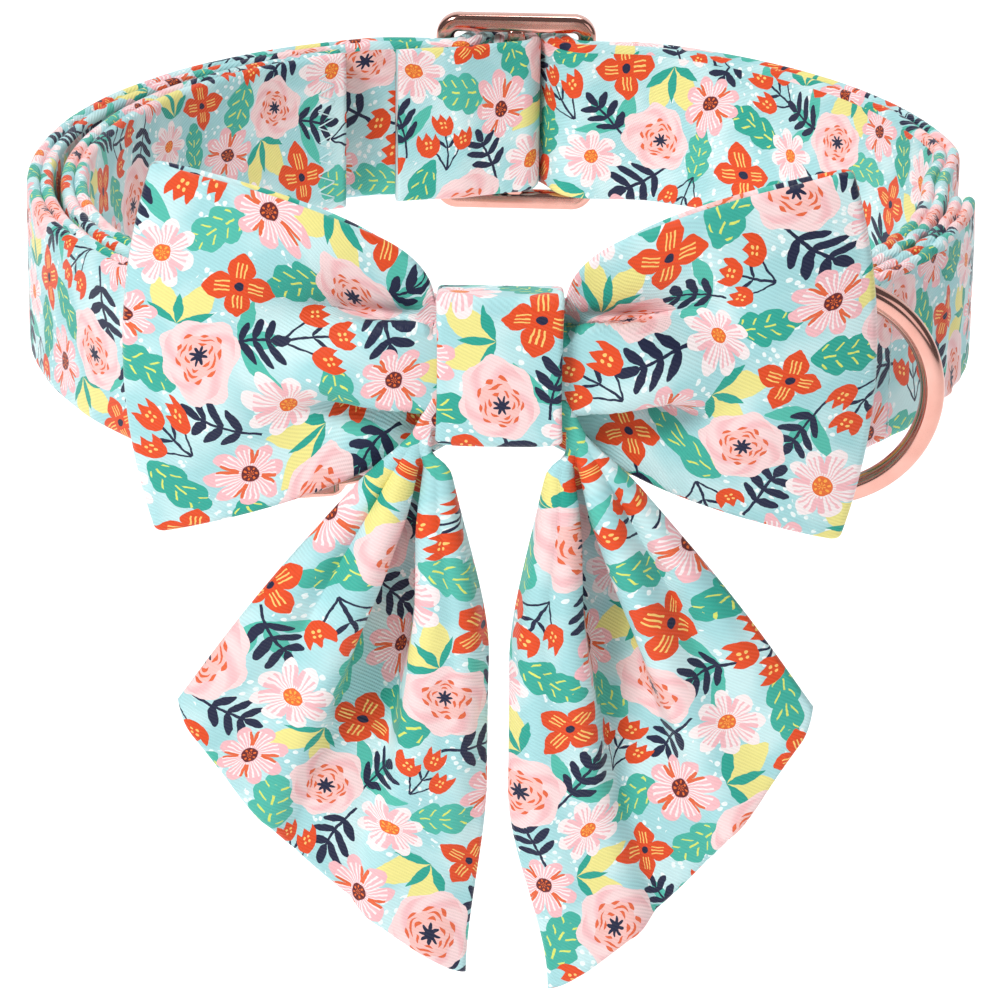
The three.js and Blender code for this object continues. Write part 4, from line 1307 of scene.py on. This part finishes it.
# %% The folds of a wing
def opening(q, spread):
    """From 0 at the knot to 1 at the fold: q to the power of spread, so that it opens fast
    and then slower, started a little late so that its slope at the knot isn't endless."""
    late = 0.003
    start = late ** spread
    return ((np.maximum(0, q) + late) ** spread - start) / ((1 + late) ** spread - start)


def wing_half(q, row, layer):
    """Half height of a wing at a share q of the way out: the knot's, plus the rest of
    the wing's times its opening. The knot has more room at its front."""
    spread = np.where(row > 0, 0.38, 0.58)
    room = knot_inside + (layer > 0) * np.where(row > 0, FRONT_ROOM, FRONT_ROOM / 2)
    return room + (WING_HALF - room) * opening(q, spread)


def wing_pleat(q, height):
    """How much of the pleat there is, 0 to 1: a band about its middle with soft sides,
    that get softer outwards. Also how far outside the band's edge a point is."""
    beside = np.abs(height - PLEAT_MIDDLE * smooth(q / 0.1)) - PLEAT_HALF
    soften = PLEAT_SLOPE + 4 * smooth((q - 0.2) / 0.4)
    return smooth((soften - beside) / soften), beside


def wing_front(q, height, opened):
    """How far the front layer stands forward of an even puff: up on the pleat, down in
    the valley beside it, and small slack waves over the lobes, all fading outwards."""
    pleat, beside = wing_pleat(q, height)
    rise = PLEAT_RISE * pleat * (1 - smooth((q - 0.08) / 0.55))
    away = (beside - VALLEY_AWAY) / (2 + 5 * smooth(q / 0.6))
    valley = np.where(away < 0, np.exp(-(away * 2) ** 2), np.exp(-away ** 2))
    valley = opened * valley * smooth(q / 0.1) * (1 - smooth((q - 0.2) / 0.5))
    slack = np.sin(height * 0.33 + q * 5.2) * smooth(q / 0.3) * (1 - smooth((q - 0.6) / 0.4))
    return rise - VALLEY * valley + SLACK_WAVE * slack


def wing_lean(q, height):
    """How far the front layer's cloth leans over its valleys, up or down: a pleat's top
    is pushed out and its foot in, and a lobe leans back towards the pleat."""
    pleat, beside = wing_pleat(q, height)
    edge = np.exp(-(beside / 1.6) ** 2) * smooth(q / 0.05) * (1 - smooth((q - 0.1) / 0.35))
    lobe = np.exp(-((beside - LOBE_AWAY) / 1.8) ** 2)
    lobe = lobe * smooth(q / 0.1) * (1 - smooth((q - 0.15) / 0.35))
    return np.sign(height) * (PLEAT_OVERHANG * (2 * pleat - 1) * edge - LOBE_LEAN * lobe)


def wing(side, q, layer, across):
    """A wing's middle surface. x runs from the knot to the fold, which bows out at
    mid height; y is the puff, a root that closes towards the fold, and the front layer
    also has its pleat, its valleys and their lean."""
    reach = WING_REACH - WING_CORNER_IN * across ** 2
    x = mix(wing_start, reach, q)
    height = wing_half(q, across, layer) * across
    puff = mix(WING_PUFF, WING_EDGE_PUFF, np.abs(across) ** 1.5)
    closing = np.sqrt(1 - (WING_CLOSED * np.clip((q - 0.5) / 0.5, 0, 1)) ** 2)
    opened = mix(CLOTH + GAP, puff, smooth(q / 0.45)) * closing
    y = -bow_middle - layer * opened / 2 + WING_SWEEP * np.maximum(0, q) ** 2
    if layer > 0:
        y = y - wing_front(q, height, opened)
        height = height + wing_lean(q, height)
    return np.stack(np.broadcast_arrays(side * x, y, BOW_ABOVE + height), axis=-1)


print("wing half height", round(float(wing_half(0.5, 1, 1)), 1), "mm half way out")

# %% [markdown]
# The ring of cloth is walked once round: out along a front, over its outer fold, back
# along the back, through the knot, and the same on the other side. The columns stand
# close together at the knot, where the folds are narrow.

# %% The bow's grid
FOLD_STEPS = 9
rows = (2 * edge_shares(110, 2 * WING_HALF, CLOTH / 2) - 1)[None, :]
columns = np.concatenate([[-0.02, -0.01], np.linspace(0, 1, 62) ** 1.9])[:, None]


def wing_fold(side):
    """The outer fold: a half turn from the front layer to the back one."""
    turned_by = np.cos(np.linspace(0, math.pi, FOLD_STEPS + 2)[1:-1])[:, None, None]
    front = wing(side, np.ones((1, 1)), 1, rows)
    back = wing(side, np.ones((1, 1)), -1, rows)
    fold = mix(back, front, (1 + turned_by) / 2)
    fold[..., 0] += side * FOLD_BULGE * np.sqrt(1 - turned_by[..., 0] ** 2)
    return fold


bow_grid = np.concatenate([
    wing(1, columns, 1, rows),
    wing_fold(1),
    wing(1, columns, -1, rows)[::-1],
    wing(-1, columns, -1, rows),
    wing_fold(-1)[::-1],
    wing(-1, columns, 1, rows)[::-1],
])
print("bow grid", bow_grid.shape[:2])

# %% [markdown]
# The bow was cut from the printed cloth before it was gathered, so the print runs along
# the wings undistorted, and the back layers show another part of it.

# %% The bow's cloth
BOW_PRINT = (160, 150)  # where its middle lay on the printed cloth
BACK_PRINT = 137  # that the back layers lay further along


def spread_out(grid):
    """How far each point is from its row's middle, over every fold."""
    over = lengths(grid, 1)
    middle = grid.shape[1] // 2
    return over - over[:, middle:middle + 1]


back_layers = np.full(len(bow_grid), BACK_PRINT)
front_rows = len(columns) + FOLD_STEPS // 2
back_layers[:front_rows] = 0
back_layers[-front_rows:] = 0
bow_flat = np.stack([bow_grid[..., 0] + back_layers[:, None] + BOW_PRINT[0],
                     spread_out(bow_grid) + BOW_PRINT[1]], axis=-1)
bow = cloth_wall("bow_wings", bow_grid, bow_flat, CLOTH, True, cloth)
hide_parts("bow_loop")

# %% [markdown]
# The knot is a short band of the same cloth, folded square round the gathers. Its front
# is a little full, its upper edge sags in the middle, and the tails push up its lower
# corners.

# %% The knot
KNOT_CORNER = 0.9
KNOT_STEPS = 150
KNOT_SWELL = 0.45
KNOT_SAG = 0.8
KNOT_PUSHED_UP = (0.6, 0.9)  # its lower edge, everywhere and at the corners besides
KNOT_PRINT = (237.8, 60)
knot_depth = KNOT_ROOM + KNOT_CLOTH
knot_high = KNOT_HEIGHT - KNOT_CLOTH
knot_back_high = KNOT_BACK_HEIGHT - KNOT_CLOTH
corners = []
for quarter, (front, top) in enumerate([(1, 1), (-1, 1), (-1, -1), (1, -1)]):
    angle = corner_angles(quarter, 6)
    half, raised = (knot_high / 2, KNOT_RAISED) if front > 0 else (knot_back_high / 2, 0)
    deep = front * (knot_depth / 2 - KNOT_CORNER) + KNOT_CORNER * np.cos(angle)
    high = raised + top * (half - KNOT_CORNER) + KNOT_CORNER * np.sin(angle)
    corners.append(np.stack([deep, high], axis=1))
knot_outline = np.concatenate(corners[2:] + corners[:2])
knot_deep, knot_z, knot_even = (part[:, None] for part in even_loop(knot_outline, KNOT_STEPS))
knot_shares = (2 * edge_shares(24, KNOT_WIDTH, KNOT_CLOTH / 2) - 1)[None, :]
fullness = 1 - knot_shares ** 2
front_share = smooth(knot_deep / knot_depth + 0.5)
swell = KNOT_SWELL * front_share * fullness * np.cos(knot_z / knot_high * math.pi * 0.8)
pushed_up = KNOT_PUSHED_UP[0] + KNOT_PUSHED_UP[1] * knot_shares ** 6
pushed_up = pushed_up * smooth(-knot_z / knot_high * 2 - 0.4)
sagged = KNOT_SAG * fullness * front_share * smooth(knot_z / knot_high * 2 - 0.4)
waist = 1 - 0.02 * np.cos(knot_z / knot_high * math.pi)
knot_grid = np.stack(np.broadcast_arrays(
    knot_shares * KNOT_WIDTH / 2 * waist,
    -(KNOT_BACK + KNOT_ROOM / 2) - knot_deep - swell,
    BOW_ABOVE + knot_z + pushed_up - sagged,
), axis=-1)
knot_flat = paired(knot_shares * KNOT_WIDTH / 2 + KNOT_PRINT[0], knot_even + KNOT_PRINT[1])
knot = cloth_wall("knot_wrap", knot_grid, knot_flat, KNOT_CLOTH, True, cloth)
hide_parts("knot_band")

# %% [markdown]
# A tail is gathered at the knot and fans out to a slanted hem. Its folds run from the
# gathers down, deep at the top and soft at the hem. A table says how far the cloth
# stands forward across it, and soft steps join the rows of the table.

# %% The tails
TAIL_CLOTH = 1.8
TAIL_FOLD_DEPTH = 3.8
TAIL_OVERHANG = 1
TAIL_RIPPLE = 0.35
TAIL_BACK = 3  # that the hem hangs further back than the knot
POCKET = 0.45  # share of the way across
FOLD_ACROSS = np.array([0, 0.13, 0.26, 0.37, 0.53, 0.65, 0.79, 0.9, 1])
FOLD_FORWARD = np.array([-0.6, 0.7, 0.8, -1.9, -1.7, 0.8, 0.1, 0.4, -0.3])
tail_plane = KNOT_BACK + KNOT_ROOM - GAP - TAIL_CLOTH / 2


def fold_height(across):
    """The table's value, with a soft step between two rows."""
    after = np.clip(np.searchsorted(FOLD_ACROSS, across), 1, len(FOLD_ACROSS) - 1)
    low, high = FOLD_ACROSS[after - 1], FOLD_ACROSS[after]
    return mix(FOLD_FORWARD[after - 1], FOLD_FORWARD[after], smooth((across - low) / (high - low)))


def fold_shift(across):
    """How far a fold's wall leans over its pocket, from -1 to 1: the height times the
    slope, both without a unit, so the top of a wall goes over the pocket and its foot
    goes back under the fold."""
    step = 0.005
    slope = (fold_height(across + step) - fold_height(across - step)) / (2 * step)
    return -np.clip(fold_height(across) + 0.5, -1, 1) * np.clip(slope / 20, -1, 1)


print("tail folds", len(FOLD_ACROSS), "rows")

# %% [markdown]
# Seen from the front a tail comes out of the knot's side, turns down, and opens as a fan
# to a hem that slants up from its tip to its corner. Each of these lines is a function
# of the share across, from the inner edge to the outer one.

# %% A tail's outline
MOUTH_OUT = 0.5  # from the knot's side to where the tail leaves it
MOUTH_LOW = 2  # its lower edge there above the knot's lower edge
MOUTH_WIDTH = 4.8
BEND_OUT = 3.2  # that the outer edge stands off the knot's side where it turns down
BEND_LOW = -0.5  # where the inner edge turns, above the knot's lower edge
BEND_UP = 1.4  # where the outer edge turns
HEM_BULGE = 3.4
HEM_ROUND = 1.2
INNER_PULLED = 2.3  # that the inner edge goes back under the knot
OUTER_BOW = 1.5
knot_low = KNOT_RAISED - KNOT_HEIGHT / 2


def between(a, b, share):
    """A share of the way from one (x, z) place to another."""
    return mix(a[0], b[0], share), mix(a[1], b[1], share)


def tail_mouth(across):
    """Where the tail leaves the knot's side."""
    return KNOT_WIDTH / 2 + MOUTH_OUT, knot_low + MOUTH_LOW + MOUTH_WIDTH * across


def tail_bend(across):
    """Where it has turned down."""
    out = mix(MOUTH_OUT, BEND_OUT, across)
    return KNOT_WIDTH / 2 + out, knot_low + mix(BEND_LOW, BEND_UP, across)


def tail_hem(tail, across):
    """The hem: a line from the tip to the corner that bulges as a sine, with its two
    ends rounded off."""
    bulge = HEM_BULGE * np.sin(math.pi * across) * math.sqrt(0.5)
    x = mix(tail["tip"], tail["corner"], across) + bulge
    z = -mix(tail["tip_drop"], tail["corner_drop"], across) - bulge
    ends = np.clip(1 - across / 0.08, 0, 1) + np.clip((across - 0.92) / 0.08, 0, 1)
    bend_x, bend_z = tail_bend(across)
    share = HEM_ROUND * ends ** 2 / np.hypot(x - bend_x, z - bend_z)
    return between((x, z), (bend_x, bend_z), share)


def tail_fan(tail, across, fan):
    """A point of the fan: from the bend at the knot to the hem, with the inner edge led
    back under the knot and the outer edge bowed out."""
    x, z = between(tail_bend(across), tail_hem(tail, across), fan)
    straight, _ = between(tail_bend(np.zeros(1)), tail_hem(tail, np.zeros(1)), fan)
    pulled = tail_bend(0)[0] - INNER_PULLED * smooth(fan / 0.05)
    inner = mix(pulled, tail["inner"], smooth(fan / 0.4))
    inner = inner + (tail["tip"] - tail["inner"]) * smooth((fan - 0.62) / 0.38)
    x = x + (inner - straight) * (1 - across) ** 2
    x = x + OUTER_BOW * across ** 3 * np.sin(math.pi * fan)
    return x, z


print("knot's lower edge", round(BOW_ABOVE + knot_low, 1), "mm up")

# %% [markdown]
# The outline gives x and z, and the table of folds gives y. The cloth in a fold has to
# come from somewhere, so the print is laid out over the folds from the pocket outwards.

# %% A tail's cloth
START_IN = 5.5  # how far inside the knot's side a tail starts
FOLD_PRINT = 0.5  # of a fold's depth that counts for the print's place


def tail_route(tail, across):
    """The tail's x and z, and its share of the fan, row by row: out of the knot, round
    the bend, and down the fan."""
    fan = edge_shares(90, 90, TAIL_CLOTH / 2)[ROLL_STEPS:, None]
    fan = np.concatenate([np.linspace(0, fan[0, 0], 5)[:-1, None], fan])
    out_of_knot = np.linspace(0, 1, 5)[:-1, None]
    turning = np.linspace(0, 1, 6)[:-1, None]
    mouth_x, mouth_z = tail_mouth(across)
    bend_x, bend_z = tail_bend(across)
    start_x = mix(KNOT_WIDTH / 2 - START_IN, mouth_x, out_of_knot) + 0 * across
    start_z = mouth_z + 0 * out_of_knot
    fan_x, fan_z = tail_fan(tail, across, fan)
    x = np.concatenate([start_x, mix(mouth_x, bend_x, turning), fan_x])
    z = np.concatenate([start_z, mix(mouth_z, bend_z, turning), fan_z])
    hidden = np.zeros((len(out_of_knot) + len(turning), 1))
    return x, z, np.concatenate([hidden, fan])


def tail_flat(grid, side, across, shift):
    """Cloth places: x and z as they hang, plus half of what each fold takes up, counted
    from the pocket outwards."""
    steps = np.diff(grid, axis=1)
    extra = np.hypot(steps[..., 0], steps[..., 1]) - side * steps[..., 0]
    extra = np.cumsum(np.concatenate([np.zeros_like(extra[:, :1]), extra], axis=1), axis=1)
    pocket = np.argmin(np.abs(across[0] - POCKET))
    extra = FOLD_PRINT * (extra - extra[:, pocket:pocket + 1])
    return np.stack([grid[..., 0] + side * extra + shift[0], grid[..., 2] + shift[1]], axis=-1)


def make_tail(name, node, side, shift, **tail):
    """The tail's grid and its cloth: the table's folds, strong at the knot and weaker
    down the fan, with a slight ripple over them."""
    across = edge_shares(84, 60, TAIL_CLOTH / 2)[None, :]
    x, z, way = tail_route(tail, across)
    strength = smooth(way / 0.2) * (1 - 0.75 * smooth((way - 0.3) / 0.6))
    ripple = TAIL_RIPPLE * np.sin(across * 19 + way * 3)
    ripple = ripple * smooth(way / 0.15) * (1 - smooth((way - 0.35) / 0.5))
    y = -tail_plane - TAIL_FOLD_DEPTH * strength * fold_height(across) - ripple + TAIL_BACK * way
    leant = TAIL_OVERHANG * fold_shift(np.clip(across, 0.01, 0.99)) * strength
    grid = np.stack([side * (x + leant), y, BOW_ABOVE + z], axis=-1)
    flat = tail_flat(grid, side, across, shift)
    made = cloth_wall(name, grid, flat, TAIL_CLOTH, False, cloth)
    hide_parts(node)


make_tail("tail_left_cloth", "tail_left", -1, (480, 130),
          corner=43.3, corner_drop=49.4, tip=3.6, tip_drop=90, inner=1)
make_tail("tail_right_cloth", "tail_right", 1, (620, 250),
          corner=43.3, corner_drop=49.4, tip=7.6, tip_drop=92.4, inner=1.8)

# %% [markdown]
# Where the strap's plies end they are sewn down with a zigzag, and a straight seam holds
# the D-ring's loop. A stitch could be painted on, but thread stands on the cloth and
# catches light, so each is a thin tube that dips into the cloth at its turns.

# %% Thread
THREAD = 0.1  # radius
THREAD_SIDES = 8
SINK = 0.32  # that a turn goes into the cloth
PROUD = 0.08  # that the thread's middle stands off the cloth


def thread(name, centre):
    """A round tube along points, with a frame from each point's own direction and one
    slanting axis."""
    onward = np.gradient(centre, axis=0)
    onward /= np.linalg.norm(onward, axis=1, keepdims=True)
    one = np.cross(onward, [0.31, 0.17, 0.93])
    one /= np.linalg.norm(one, axis=1, keepdims=True)
    two = np.cross(onward, one)
    angle = np.linspace(0, 2 * math.pi, THREAD_SIDES + 1)[None, :-1, None]
    rings = centre[:, None] + THREAD * (one[:, None] * np.cos(angle) + two[:, None] * np.sin(angle))
    flat = np.zeros((len(centre), THREAD_SIDES + 1, 2))
    tube(name, rings, flat, thread_finish, "collar", False)


print("thread", 2 * THREAD, "mm thick")

# %% [markdown]
# The machine's needle goes to and fro while the cloth moves under it, so the thread is a
# triangle wave, and it sinks in where the needle went down.


# %% The seams
def zigzag(name, angle, width, out, height, pitch):
    """A zigzag up the strap at an angle of the loop: a triangle wave across the width,
    that sinks at each turn as the sixth power of that wave."""
    count = int(height / pitch)
    way = np.linspace(0, count, count * 14 + 1)
    triangle = 2 * np.abs((way + 0.5) % 2 - 1) - 1
    sink = math.copysign(SINK, out) * np.abs(triangle) ** 6
    thread(name, on_loop(arc(angle) + width / 2 * triangle, out - sink, way * pitch - height / 2))


outer_face = STRAP_THICKNESS / 2 + PROUD
zigzag("stitch_right_end", 77.5, 3.4, outer_face + 0.05, 22, 1.8)
zigzag("stitch_left_end", -153.2, 3.4, -PITCH - outer_face - 0.1, 22, 1.3)
zigzag("stitch_ring", 52, 0.3, outer_face, 22.6, 1.1)
print("three seams")
